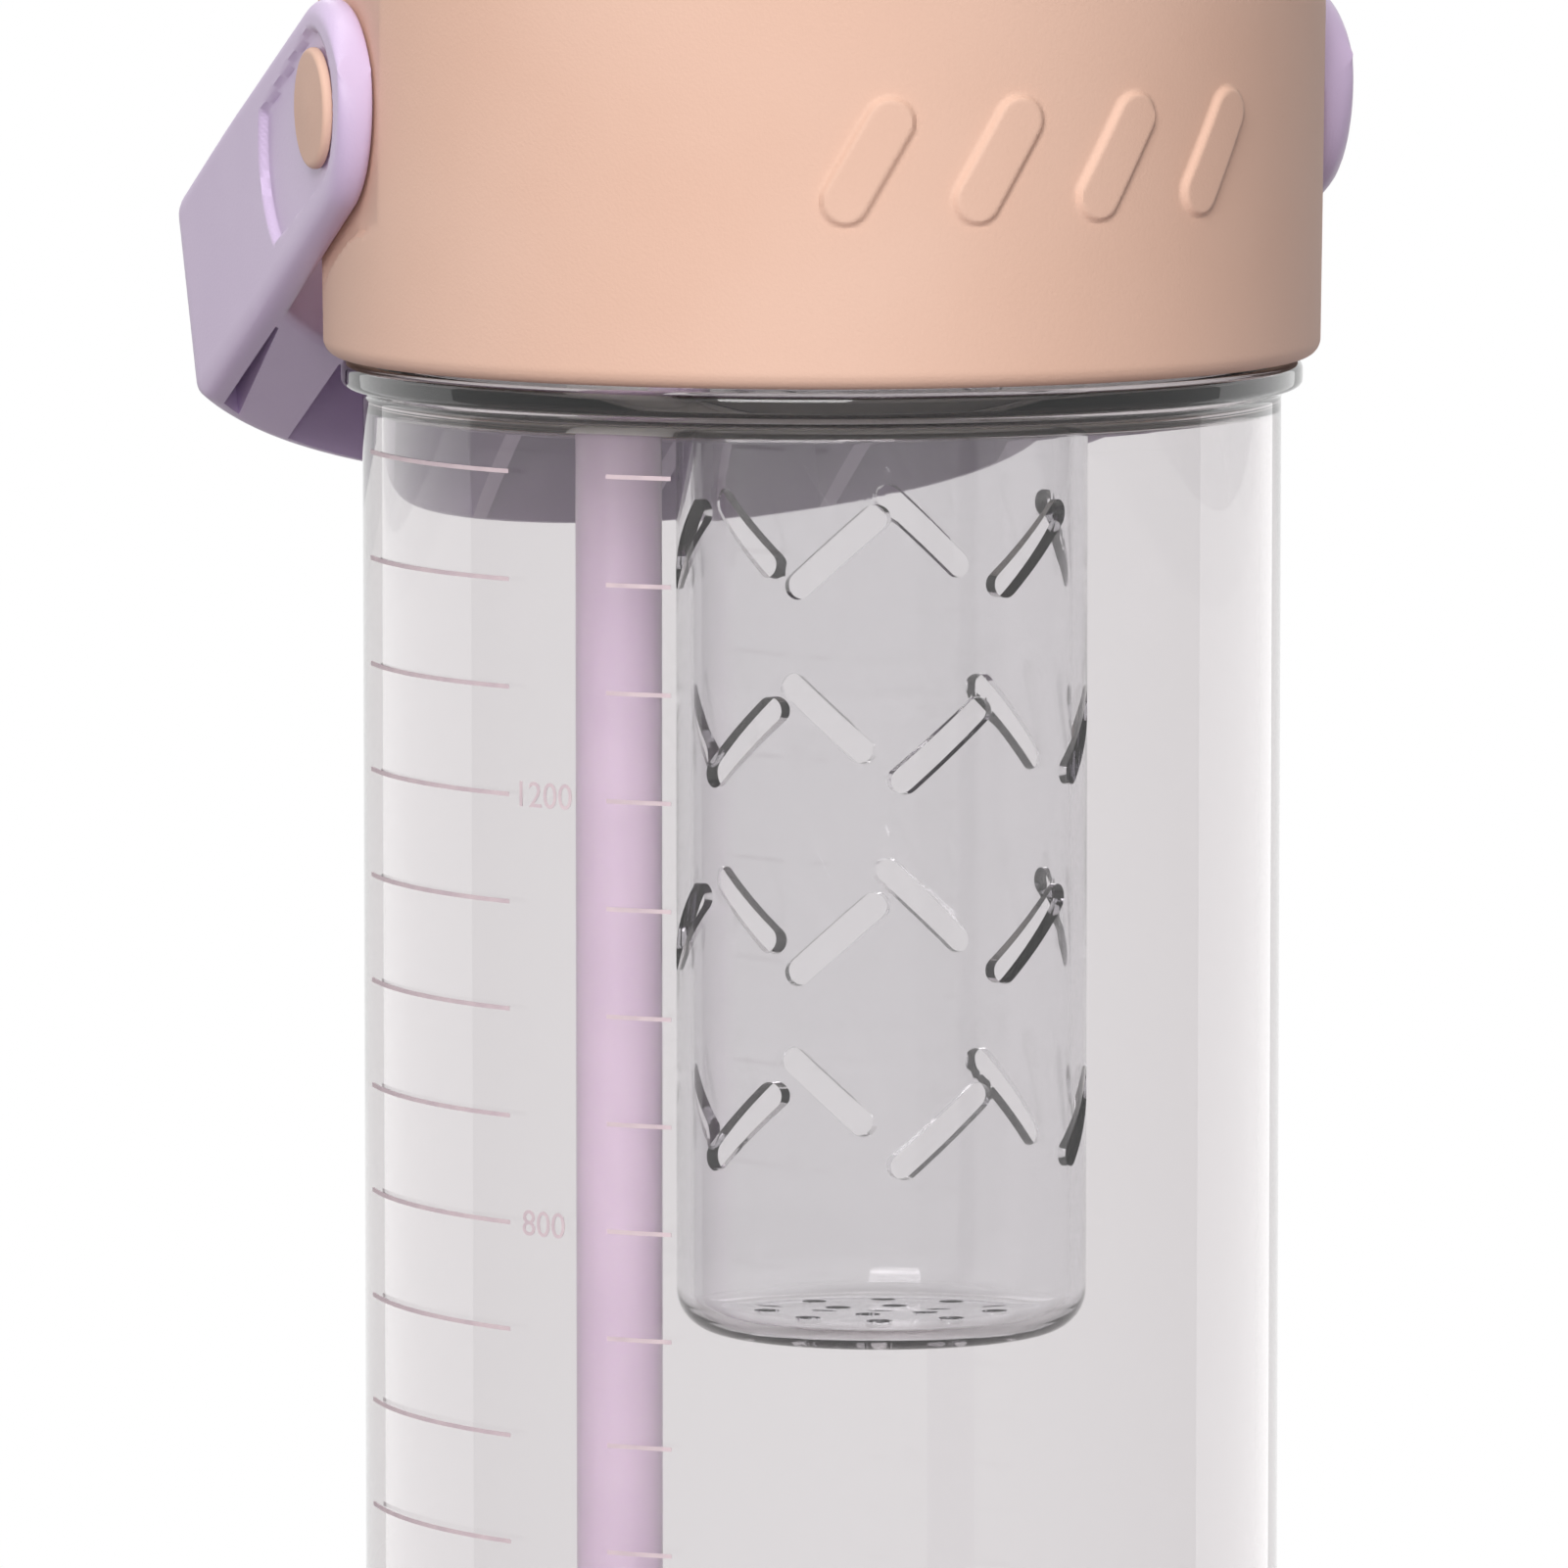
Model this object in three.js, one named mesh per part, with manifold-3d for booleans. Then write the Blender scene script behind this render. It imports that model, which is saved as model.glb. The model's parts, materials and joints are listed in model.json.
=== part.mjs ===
// Clear tea infuser bottle with a screw lid, a carry loop, a hanging infuser cup
// and a straw that ends in a folding spout. Millimetres, +Z up, origin at the middle
// of the foot. The handle turns about X, the lid marks face -Y, the loop rests at +Y.
import * as THREE from 'three';
import { mergeVertices } from 'three/addons/utils/BufferGeometryUtils.js';
import Module from 'manifold-3d';

const wasm = await Module();
wasm.setup();

// Clearances
const fitGap = 0.3;        // two pieces that seat on each other
const slideGap = 0.4;      // two pieces that slide or turn on each other
const cutOver = 1;         // how far a cut runs past the face that it opens
const edgeFillet = 0.8;    // moulded edges
const lipFillet = 0.5;     // edges of thin walls and rings

// Bottle
const bodyRadius = 53.5;
const bodyWall = 2.5;
const floorThickness = 4;
const footFillet = 7.5;
const bodyHeight = 219.5;  // foot to the top of the bead under the lid
const beadOverhang = 2.5;
const beadHeight = 2.8;
const beadSlope = 1;
const neckInset = 4.3;
const neckHeight = 16.5;
const neckWall = 2.5;
const shoulderFillet = 2;  // inside, where the wall draws in to the neck

// Lid
const lidGap = 0.5;        // bead to the lower edge of the lid
const lidOverhang = 2.6;   // lid beyond the bead
const lidDraft = 0.6;      // the side narrows by this much downwards
const lidHeight = 51;
const lidTopFillet = 7;
const lidFootFillet = 2;
const lidTopThickness = 2.2;
const seatDepth = 1.8;     // flat cut for a handle arm
const seatWall = 2.4;      // wall left behind that flat
const seatRoom = 2.5;      // flat left bare beyond an arm at its stop
const snapBead = 1.4;
const snapHeight = 1.2;
const innerStep = 2;
const threadRoom = 1.1;
const plateThickness = 2.6;
const sealHeight = 1.8;
const sealWidth = 3.1;

// Raised marks on the lid front
const markCount = 4;
const markFirstAngle = -11.6;
const markPitchAngle = 14.85;
const markLength = 15.6;
const markWidth = 5.5;
const markLean = 30;
const markRise = 0.7;
const markRoot = 1.8;      // how far a mark reaches into the wall
const markHeightOnLid = 25.75;

// Carry handle
const pivotHeightOnLid = 29.5;
const handleDroop = 23.5;  // rest angle below the horizontal, at the back
const handleFrontRise = 10;
const armThickness = 4;
const armRadius = 12.6;
const gripHalfWidth = 13.2;
const loopRoom = 9.9;      // lid side to the inside of the grip
const gripDepth = 31.5;    // inside to outside of the grip, at its middle
const loopBow = 34.5;      // how far the inside bows beyond the arms
const crownCentre = 28.9937;  // pivot axis to the centre of the bowed outside
const gripEdge = 2;
const crownSlack = 0.3;    // keeps the facets of the rounding off the bowed face
const coreWall = 2.6;
const coreRoof = 3;
const coreRib = 2.4;
const cornerRib = 5;
const cornerCell = 6;
const cornerWall = 3.2;
const dishDepth = 1;
const dishRim = 3.6;
const dishReach = 23;
const dishBulge = 2.6;
const dishTaper = 1;       // the dish narrows by this much on each side
const pinRadius = 3.9;
const pinHeadRadius = 7;
const pinHeadHeight = 1.4;
const pinGrip = 8;
const bossRadius = 7;
const bossEnd = 1;

// Infuser
const infuserOffset = 7.3;
const infuserRadius = 24;
const infuserWall = 1.8;
const infuserLength = 130;
const infuserFloor = 2;
const infuserFillet = 5;
const skirtWall = 1.8;
const skirtDepth = 9.5;
const slotWidth = 3.2;
const slotLength = 15;
const slotLean = 42;
const slotRows = 4;
const slotsPerRow = 6;
const slotRowPitch = 22.5;
const slotFirstHeight = 26;
const slotInset = 2;       // a slot's cut starts this far inside the curved wall
const drainRadius = 1.5;
const drainRings = [[1, 0], [6, 7], [10, 14]];

// Straw, riser and vent
const strawOffset = -24.5;
const strawRadius = 5;
const strawWall = 0.9;
const strawLift = 10;      // end of the straw above the bottle floor
const strawTopDrop = 11.2;
const strawSlant = 35;
const adapterWall = 0.9;
const adapterLength = 21;
const stubLength = 10;
const stubBore = 3.2;
const riserWall = 2;
const riserFootRadius = 7.5;
const riserFootHeight = 1.5;
const washerHeight = 1.2;
const ventX = -5;
const ventInset = 10.7;    // from the mouth of the bottle
const ventStem = 2;
const ventHead = 4.2;
const ventLip = 0.9;
const ventHeight = 1.4;    // of the head, and of the tip below the plate

// Folding spout
const wellWall = 1.8;
const wellHalfWidth = 8.7;
const wellDepth = 14.5;
const wellReach = 56;      // spout axis to the centre of the far round end
const wellLipWidth = 2.2;
const wellLipHeight = 1.3;
const barrelRadius = 6.2;
const barrelProud = 0.7;   // top of the folded spout above the lid
const spoutReach = 50;
const nozzleRadius = 5.2;
const nozzleTipRadius = 3.9;
const nozzleShoulder = 25;
const spoutBore = 2.5;
const spoutPinRadius = 1.5;
const spoutPinDepth = 3.6;
const mouthpieceWall = 1.2;
const mouthpieceTip = 2.4;
const mouthpieceBelly = 0.5;
const mouthpieceFillet = 1.6;

// Facets
const roundSides = 44;
const cupSides = 28;
const smallSides = 20;
const pinSides = 16;
const drainSides = 6;
const loopFacets = 24;     // on each long arc of the loop
const curveFacets = 8;     // on each short arc of an outline
const slotFacets = 3;
const markFacets = 4;
const easedEdge = 1.2;     // a smaller radius is one flat chamfer
const roundedEdge = 4.5;   // a smaller radius has two facets, a larger one four

// Levels and radii that follow from the sizes above
const neckRadius = bodyRadius - neckInset;
const mouthRadius = neckRadius - neckWall;
const beadRadius = bodyRadius + beadOverhang;
const neckTop = bodyHeight + neckHeight;
const lidBottom = bodyHeight + lidGap;
const lidTop = lidBottom + lidHeight;
const lidRadius = beadRadius + lidOverhang;
const lidBore = lidRadius - seatDepth - seatWall;
const seatPlane = lidRadius - seatDepth;
const pivotZ = lidBottom + pivotHeightOnLid;
const plateBottom = neckTop + sealHeight + 2 * fitGap;
const plateTop = plateBottom + plateThickness;
const armInside = seatPlane + slideGap;
const armOutside = armInside + armThickness;
const loopHalf = Math.max(armRadius, gripHalfWidth) + cutOver;
const loopReach = lidRadius + loopRoom;
const loopRadius = (armInside ** 2 + loopBow ** 2) / (2 * loopBow);
const loopCentre = loopReach - loopRadius;
const crownReach = loopReach + gripDepth;
const crownRadius = crownReach - crownCentre;
const coreEnd = armOutside - cornerWall;
const corePitch = (coreEnd - cornerCell - cornerRib) / 2;
const skirtRadius = infuserRadius - infuserWall - slideGap;
const infuserTop = plateBottom - sealHeight - 2 * fitGap;
const infuserBottom = infuserTop - infuserLength;
const wellFloor = lidTop - wellDepth;
const wellUnder = wellFloor - wellWall;
const washerTop = wellUnder - fitGap;
const riserTop = washerTop - washerHeight - fitGap;
const barrelZ = lidTop - barrelRadius + barrelProud;
const wellStart = strawOffset - barrelRadius - slideGap;
const wellEnd = strawOffset + wellReach;
const adapterRadius = strawRadius + fitGap + adapterWall;

// Colours and finishes
const clear = new THREE.MeshStandardMaterial({
  color: 0xdfe3e2, roughness: 0.06, transparent: true, opacity: 0.3,
});
const peach = new THREE.MeshStandardMaterial({ color: 0xe7bfa6, roughness: 0.5 });
const lavender = new THREE.MeshStandardMaterial({ color: 0xc3b0cf, roughness: 0.42 });
const milky = new THREE.MeshStandardMaterial({ color: 0xeee9e4, roughness: 0.45 });
const silicone = new THREE.MeshStandardMaterial({ color: 0xf1eeea, roughness: 0.6 });
const steel = new THREE.MeshStandardMaterial({ color: 0xb9bcbf, roughness: 0.3, metalness: 1 });

const radians = THREE.MathUtils.degToRad;

// A path of straight runs, with each corner [x, y, radius] rounded by an arc.
function roundedPath(corners, closed = false) {
  const path = [];
  corners.forEach(([x, y, radius = 0], index) => {
    const here = new THREE.Vector2(x, y);
    const isEnd = !closed && (index === 0 || index === corners.length - 1);
    if (radius === 0 || isEnd) {
      path.push(here);
      return;
    }
    const before = corners[(index + corners.length - 1) % corners.length];
    const after = corners[(index + 1) % corners.length];
    const back = new THREE.Vector2(before[0] - x, before[1] - y).normalize();
    const ahead = new THREE.Vector2(after[0] - x, after[1] - y).normalize();
    const half = Math.acos(THREE.MathUtils.clamp(back.dot(ahead), -1, 1)) / 2;
    const middle = back.clone().add(ahead).normalize().multiplyScalar(radius / Math.sin(half)).add(here);
    const start = back.clone().multiplyScalar(radius / Math.tan(half)).add(here).sub(middle);
    const turn = (back.cross(ahead) > 0 ? -1 : 1) * (Math.PI - 2 * half);
    const steps = (radius < easedEdge && 1) || (radius < roundedEdge && 2) || 4;
    for (let step = 0; step <= steps; step += 1) {
      path.push(start.clone().rotateAround(new THREE.Vector2(), turn * step / steps).add(middle));
    }
  });
  return path;
}

// A profile [radius, height, fillet] turned about Z. It starts and ends on the axis,
// or closes on itself as a ring.
function turned(corners, sides, ring = false) {
  const path = roundedPath(corners, ring);
  if (ring) path.push(path[0].clone());
  return new THREE.LatheGeometry(path, sides).rotateX(Math.PI / 2);
}

// A plain tube or ring about Z.
function tube(inner, outer, bottom, top, sides) {
  return turned([[inner, bottom], [outer, bottom], [outer, top], [inner, top]], sides, true);
}

// A plain round bar about Z.
function bar(radius, bottom, top, sides) {
  return turned([[0, bottom], [radius, bottom], [radius, top], [0, top]], sides);
}

// A flat outline pulled up along Z from one level to another.
function pulled(shape, bottom, top, curveSegments = curveFacets) {
  const settings = { depth: top - bottom, bevelEnabled: false, curveSegments };
  return new THREE.ExtrudeGeometry(shape, settings).translate(0, 0, bottom);
}

// An outline with two round ends, along X, from the centre of one end to the other.
function stadium(from, to, radius) {
  const shape = new THREE.Shape();
  shape.absarc(to, 0, radius, -Math.PI / 2, Math.PI / 2);
  shape.absarc(from, 0, radius, Math.PI / 2, 3 * Math.PI / 2);
  return shape;
}

// Closed geometry to a solid that can be joined and cut, facing outwards.
function toSolid(geometry) {
  const bare = geometry.clone();
  bare.deleteAttribute('normal');
  bare.deleteAttribute('uv');
  const merged = mergeVertices(bare, 1e-4);
  const kept = [];
  for (let at = 0; at < merged.index.count; at += 3) {
    const [a, b, c] = [0, 1, 2].map((corner) => merged.index.getX(at + corner));
    if (a !== b && b !== c && c !== a) kept.push(a, b, c);
  }
  const mesh = new wasm.Mesh({
    numProp: 3,
    vertProperties: new Float32Array(merged.attributes.position.array),
    triVerts: new Uint32Array(kept),
  });
  return new wasm.Manifold(mesh);
}

function toGeometry(body) {
  const mesh = body.getMesh();
  const geometry = new THREE.BufferGeometry();
  geometry.setAttribute('position', new THREE.BufferAttribute(mesh.vertProperties, 3));
  geometry.setIndex(new THREE.BufferAttribute(mesh.triVerts, 1));
  geometry.computeVertexNormals();
  return geometry;
}

// The first geometry with others joined on and then others cut away.
function shaped(base, { joins = [], cuts = [], keeps = [] } = {}) {
  let body = toSolid(base);
  joins.forEach((piece) => { body = body.add(toSolid(piece)); });
  keeps.forEach((piece) => { body = body.intersect(toSolid(piece)); });
  cuts.forEach((piece) => { body = body.subtract(toSolid(piece)); });
  return toGeometry(body);
}

const bottle = new THREE.Group();

function addPiece(name, geometry, material, parent = bottle) {
  const mesh = new THREE.Mesh(geometry, material);
  mesh.name = name;
  parent.add(mesh);
  return mesh;
}

// Clear bottle: flat foot, straight wall, bead under the lid, plain neck.
function bottleBody() {
  const inside = bodyRadius - bodyWall;
  const beadBottom = bodyHeight - beadHeight;
  const slopeBottom = beadBottom - beadSlope;
  return turned([
    [0, 0],
    [bodyRadius, 0, footFillet],
    [bodyRadius, slopeBottom, edgeFillet],
    [beadRadius, beadBottom, edgeFillet],
    [beadRadius, bodyHeight, edgeFillet],
    [neckRadius, bodyHeight, lipFillet],
    [neckRadius, neckTop, edgeFillet],
    [mouthRadius, neckTop, edgeFillet],
    [mouthRadius, beadBottom + neckWall, shoulderFillet],
    [inside, slopeBottom - edgeFillet, shoulderFillet],
    [inside, floorThickness, footFillet - bodyWall],
    [0, floorThickness],
  ], roundSides);
}

// The area that a handle arm sweeps in the side view, above its two stops.
function seatOutline() {
  const reach = armRadius + seatRoom;
  const far = lidHeight;
  const down = radians(handleDroop);
  const up = radians(handleFrontRise);
  const rear = new THREE.Vector2(-Math.sin(down), -Math.cos(down)).multiplyScalar(reach);
  const front = new THREE.Vector2(-Math.sin(up), -Math.cos(up)).multiplyScalar(reach);
  const along = (front.y - rear.y + Math.tan(up) * (front.x - rear.x))
    / (-Math.sin(down) + Math.tan(up) * Math.cos(down));
  const meet = new THREE.Vector2(Math.cos(down), -Math.sin(down)).multiplyScalar(along).add(rear);
  const shape = new THREE.Shape();
  shape.moveTo(meet.x, meet.y);
  shape.lineTo(meet.x + far * Math.cos(down), meet.y - far * Math.sin(down));
  shape.lineTo(meet.x + far, far);
  shape.lineTo(-far, far);
  shape.lineTo(meet.x - far * Math.cos(up), meet.y + far * Math.sin(up));
  return shape;
}

// Outlines drawn in the side view (Y across, Z up) and pulled along X.
function sidePulled(shape, from, to) {
  const turn = new THREE.Matrix4().makeBasis(
    new THREE.Vector3(0, 1, 0), new THREE.Vector3(0, 0, 1), new THREE.Vector3(1, 0, 0));
  return pulled(shape, from, to).applyMatrix4(turn);
}

// One raised mark, standing out from the lid's side.
function lidMark(index) {
  const half = (markLength - markWidth) / 2;
  const outline = stadium(-half, half, markWidth / 2);
  return pulled(outline, -markRoot, markRise + cutOver, markFacets)
    .rotateZ(radians(90 - markLean))
    .rotateX(Math.PI / 2)
    .translate(0, -lidRadius, lidBottom + markHeightOnLid)
    .rotateZ(radians(markFirstAngle + index * markPitchAngle));
}

function lidShell() {
  const ceiling = lidTop - lidTopThickness;
  const upperBore = lidBore - innerStep;
  const stepZ = plateTop + fitGap;
  const snapTop = lidBottom + snapHeight;
  const footRadius = lidRadius - lidDraft;
  const shell = turned([
    [0, ceiling],
    [upperBore, ceiling, edgeFillet],
    [upperBore, stepZ],
    [lidBore, stepZ],
    [lidBore, snapTop],
    [lidBore - snapBead, lidBottom + snapHeight / 2],
    [lidBore - snapBead, lidBottom],
    [footRadius, lidBottom, lidFootFillet],
    [lidRadius, lidTop, lidTopFillet],
    [0, lidTop],
  ], roundSides);
  const markFace = turned([
    [0, lidBottom], [footRadius + markRise, lidBottom], [lidRadius + markRise, lidTop], [0, lidTop],
  ], roundSides);
  const marks = Array.from({ length: markCount }, (_, index) => shaped(lidMark(index), { keeps: [markFace] }));
  const bossInside = lidBore - pinGrip - bossEnd;
  const bosses = [];
  const cuts = [pulled(stadium(wellStart, wellEnd, wellHalfWidth + wellWall + fitGap),
    wellUnder - fitGap, lidTop + cutOver)];
  [-1, 1].forEach((side) => {
    const boss = bar(bossRadius, bossInside, lidBore + seatWall / 2, smallSides);
    const hole = bar(pinRadius + fitGap, bossInside + bossEnd, lidRadius + cutOver, smallSides);
    bosses.push(boss.rotateY(side * Math.PI / 2).translate(0, 0, pivotZ));
    cuts.push(hole.rotateY(side * Math.PI / 2).translate(0, 0, pivotZ));
    const seat = side > 0
      ? sidePulled(seatOutline(), seatPlane, lidRadius + markRise + cutOver)
      : sidePulled(seatOutline(), -lidRadius - markRise - cutOver, -seatPlane);
    cuts.push(seat.translate(0, 0, pivotZ));
  });
  return shaped(shell, { joins: [...marks, ...bosses], cuts });
}

// Inner lid: screw skirt, plate, a skirt for the infuser and a stub for the straw.
function lidLiner() {
  const outside = lidBore - fitGap;
  const inside = neckRadius + threadRoom;
  const foot = lidBottom + snapHeight + fitGap;
  const cup = turned([
    [0, plateBottom],
    [inside, plateBottom],
    [inside, foot],
    [outside, foot, lipFillet],
    [outside, plateTop, lipFillet],
    [0, plateTop],
  ], roundSides);
  const overlap = plateThickness / 2;
  const rooted = plateBottom + overlap;
  const skirt = tube(skirtRadius - skirtWall, skirtRadius, plateBottom - skirtDepth, rooted, cupSides);
  const stub = bar(strawRadius, plateBottom - stubLength, rooted, smallSides);
  const bore = bar(stubBore, plateBottom - stubLength - cutOver, plateTop + cutOver, smallSides);
  const vent = bar(ventStem + fitGap, plateBottom - cutOver, plateTop + cutOver, smallSides);
  return shaped(cup, {
    joins: [skirt.translate(infuserOffset, 0, 0), stub.translate(strawOffset, 0, 0)],
    cuts: [bore.translate(strawOffset, 0, 0), vent.translate(ventX, mouthRadius - ventInset, 0)],
  });
}

// The loop seen flat: X across, the reach from the pivot axis along Y.
function loopOutline() {
  const shape = new THREE.Shape();
  const innerAngle = Math.acos(armInside / loopRadius);
  const outerAngle = Math.acos(armOutside / crownRadius);
  shape.moveTo(armInside, -armRadius);
  shape.lineTo(armOutside, -armRadius);
  shape.absarc(0, crownCentre, crownRadius, outerAngle, Math.PI - outerAngle);
  shape.lineTo(-armOutside, -armRadius);
  shape.lineTo(-armInside, -armRadius);
  shape.absarc(0, loopCentre, loopRadius, Math.PI - innerAngle, innerAngle, true);
  return shape;
}

// The loop seen from the side: a round eye and a slight taper to the grip.
function loopSide() {
  const end = crownReach + cutOver;
  const taperEnd = loopReach - loopBow;
  const shape = new THREE.Shape();
  shape.absarc(0, 0, armRadius, Math.PI / 2, 3 * Math.PI / 2);
  shape.lineTo(taperEnd, -gripHalfWidth);
  shape.lineTo(end, -gripHalfWidth);
  shape.lineTo(end, gripHalfWidth);
  shape.lineTo(taperEnd, gripHalfWidth);
  return shape;
}

// A disc over the whole loop that rounds the upper and lower edge of the bowed grip.
function crownDisc() {
  const rim = crownRadius + crownSlack;
  const step = crownRadius - gripEdge - lipFillet;
  return turned([
    [0, -loopHalf],
    [step, -loopHalf],
    [step, -gripHalfWidth],
    [rim, -gripHalfWidth, gripEdge],
    [rim, gripHalfWidth, gripEdge],
    [step, gripHalfWidth],
    [step, loopHalf],
    [0, loopHalf],
  ], roundSides).translate(0, crownCentre, 0);
}

// One hollow in the underside of the grip, between two distances from the middle plane.
function coreOutline(near, far) {
  const inner = loopRadius + coreWall;
  const outer = crownRadius - coreWall;
  const shape = new THREE.Shape();
  shape.absarc(0, loopCentre, inner, Math.acos(far / inner), Math.acos(near / inner));
  shape.absarc(0, crownCentre, outer, Math.acos(near / outer), Math.acos(far / outer), true);
  return shape;
}

// The dished seat round the pin head on an arm's outer face.
function dishOutline() {
  const radius = armRadius - dishRim;
  const shape = new THREE.Shape();
  shape.absarc(0, 0, radius, Math.PI / 2, 3 * Math.PI / 2);
  shape.lineTo(dishReach, dishTaper - radius);
  shape.quadraticCurveTo(dishReach + 2 * dishBulge, 0, dishReach, radius - dishTaper);
  return shape;
}

function carryHandle() {
  const reach = armOutside + cutOver;
  const coreTop = gripHalfWidth - coreRoof;
  const loop = pulled(loopOutline(), -loopHalf, loopHalf, loopFacets);
  const coreCells = [
    [coreRib / 2, corePitch - coreRib / 2],
    [corePitch + coreRib / 2, 2 * corePitch],
    [coreEnd - cornerCell, coreEnd],
  ];
  const cuts = [];
  coreCells.forEach(([near, far]) => {
    const core = pulled(coreOutline(near, far), -loopHalf, coreTop);
    cuts.push(core, core.clone().rotateY(Math.PI).translate(0, 0, coreTop - loopHalf));
  });
  [-1, 1].forEach((side) => {
    const hole = bar(pinRadius + slideGap, armInside - cutOver, reach, smallSides);
    cuts.push(hole.rotateY(side * Math.PI / 2));
    cuts.push(side > 0
      ? sidePulled(dishOutline(), armOutside - dishDepth, reach)
      : sidePulled(dishOutline(), -reach, dishDepth - armOutside));
  });
  return shaped(loop, { keeps: [sidePulled(loopSide(), -reach, reach), crownDisc()], cuts });
}

// Headed pin about Z, its tip towards the axis of the bottle.
function pivotPin() {
  const tip = lidBore - pinGrip + fitGap;
  const headBottom = armOutside - dishDepth + fitGap;
  return turned([
    [0, tip],
    [pinRadius, tip, lipFillet],
    [pinRadius, headBottom],
    [pinHeadRadius, headBottom],
    [pinHeadRadius, headBottom + pinHeadHeight, edgeFillet],
    [0, headBottom + pinHeadHeight],
  ], smallSides);
}

// Clear cup with rows of slanted slots and a drained floor, about its own axis.
function infuserBasket() {
  const inside = infuserRadius - infuserWall;
  const floor = infuserBottom + infuserFloor;
  const cup = turned([
    [0, infuserBottom],
    [infuserRadius, infuserBottom, infuserFillet],
    [infuserRadius, infuserTop, lipFillet],
    [inside, infuserTop, lipFillet],
    [inside, floor, infuserFillet - infuserWall],
    [0, floor],
  ], cupSides);
  const cuts = [];
  const half = (slotLength - slotWidth) / 2;
  const slot = pulled(stadium(-half, half, slotWidth / 2), inside - slotInset, infuserRadius + cutOver, slotFacets);
  const drain = bar(drainRadius, infuserBottom - cutOver, floor + cutOver, drainSides);
  for (let row = 0; row < slotRows; row += 1) {
    for (let place = 0; place < slotsPerRow; place += 1) {
      const turn = (place + (row % 2) / 2) * 2 * Math.PI / slotsPerRow;
      cuts.push(slot.clone()
        .rotateZ(radians(slotLean))
        .rotateX(Math.PI / 2)
        .translate(0, 0, infuserBottom + slotFirstHeight + row * slotRowPitch)
        .rotateZ(turn));
    }
  }
  drainRings.forEach(([count, radius]) => {
    for (let place = 0; place < count; place += 1) {
      const turn = place * 2 * Math.PI / count;
      cuts.push(drain.clone().translate(radius, 0, 0).rotateZ(turn));
    }
  });
  return shaped(cup, { cuts });
}

function strawTube() {
  const bottom = floorThickness + strawLift;
  const top = plateBottom - strawTopDrop;
  const pipe = tube(strawRadius - strawWall, strawRadius, bottom, top, smallSides);
  const block = 6 * strawRadius;
  const wedge = new THREE.BoxGeometry(block, block, block)
    .translate(0, 0, -block / 2)
    .rotateY(radians(strawSlant))
    .translate(0, 0, bottom + strawRadius * Math.tan(radians(strawSlant)));
  return shaped(pipe, { cuts: [wedge] });
}

// Tub with round ends, a lip on the lid top, a port over the straw and two pin holes.
function spoutWell() {
  const outer = wellHalfWidth + wellWall;
  const lipBottom = lidTop + fitGap;
  const lipTop = lipBottom + wellLipHeight;
  const tub = pulled(stadium(wellStart, wellEnd, outer), wellUnder, lipTop);
  const lip = pulled(stadium(wellStart, wellEnd, outer + wellLipWidth), lipBottom, lipTop);
  const hollow = pulled(stadium(wellStart, wellEnd, wellHalfWidth), wellFloor, lipTop + cutOver);
  const port = bar(stubBore, wellUnder - cutOver, wellFloor + cutOver, smallSides).translate(strawOffset, 0, 0);
  const pinHole = bar(spoutPinRadius + fitGap, -outer - cutOver, outer + cutOver, pinSides)
    .rotateX(Math.PI / 2)
    .translate(strawOffset, 0, barrelZ);
  return shaped(tub, { joins: [lip], cuts: [hollow, port, pinHole] });
}

// Barrel across Y with a nozzle that lies along +X, bored from end to end.
function spoutBody() {
  const half = wellHalfWidth - slideGap;
  const barrel = bar(barrelRadius, -half, half, smallSides).rotateX(Math.PI / 2);
  const nozzle = turned([
    [0, 0],
    [nozzleRadius, 0],
    [nozzleRadius, nozzleShoulder, edgeFillet],
    [nozzleTipRadius, nozzleShoulder],
    [nozzleTipRadius, spoutReach - mouthpieceTip - fitGap, lipFillet],
    [0, spoutReach - mouthpieceTip - fitGap],
  ], smallSides).rotateY(Math.PI / 2);
  const bore = bar(spoutBore, -barrelRadius - cutOver, spoutReach, pinSides).rotateY(Math.PI / 2);
  const cuts = [bore];
  [-1, 1].forEach((side) => {
    const near = half - spoutPinDepth - fitGap;
    const hole = bar(spoutPinRadius + fitGap, near, half + cutOver, pinSides);
    cuts.push(hole.rotateX(-side * Math.PI / 2));
  });
  return shaped(barrel, { joins: [nozzle], cuts });
}

// Soft sleeve over the narrow end of the nozzle, slightly bellied, open at the tip.
function mouthpiece() {
  const inner = nozzleTipRadius + fitGap;
  const outer = inner + mouthpieceWall;
  const start = nozzleShoulder + fitGap;
  const middle = (start + spoutReach) / 2;
  return turned([
    [inner, start],
    [outer, start, lipFillet],
    [outer + mouthpieceBelly, middle],
    [outer, spoutReach, mouthpieceFillet],
    [spoutBore, spoutReach, lipFillet],
    [spoutBore, spoutReach - mouthpieceTip],
    [inner, spoutReach - mouthpieceTip],
  ], smallSides, true).rotateY(Math.PI / 2);
}

// Mushroom plug through the plate of the inner lid.
function ventValve() {
  const head = plateTop + fitGap;
  const lip = plateBottom - fitGap;
  return turned([
    [0, lip - ventHeight],
    [ventStem, lip - ventHeight],
    [ventStem + ventLip, lip],
    [ventStem, lip],
    [ventStem, head],
    [ventHead, head],
    [ventHead, head + ventHeight, edgeFillet],
    [0, head + ventHeight],
  ], pinSides);
}

addPiece('bottle_body', bottleBody(), clear);
addPiece('lid_shell', lidShell(), peach);
addPiece('lid_liner', lidLiner(), milky);
addPiece('lid_seal', tube(neckRadius + threadRoom - fitGap - sealWidth, neckRadius + threadRoom - fitGap,
  neckTop + fitGap, neckTop + fitGap + sealHeight, roundSides), silicone);

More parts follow.
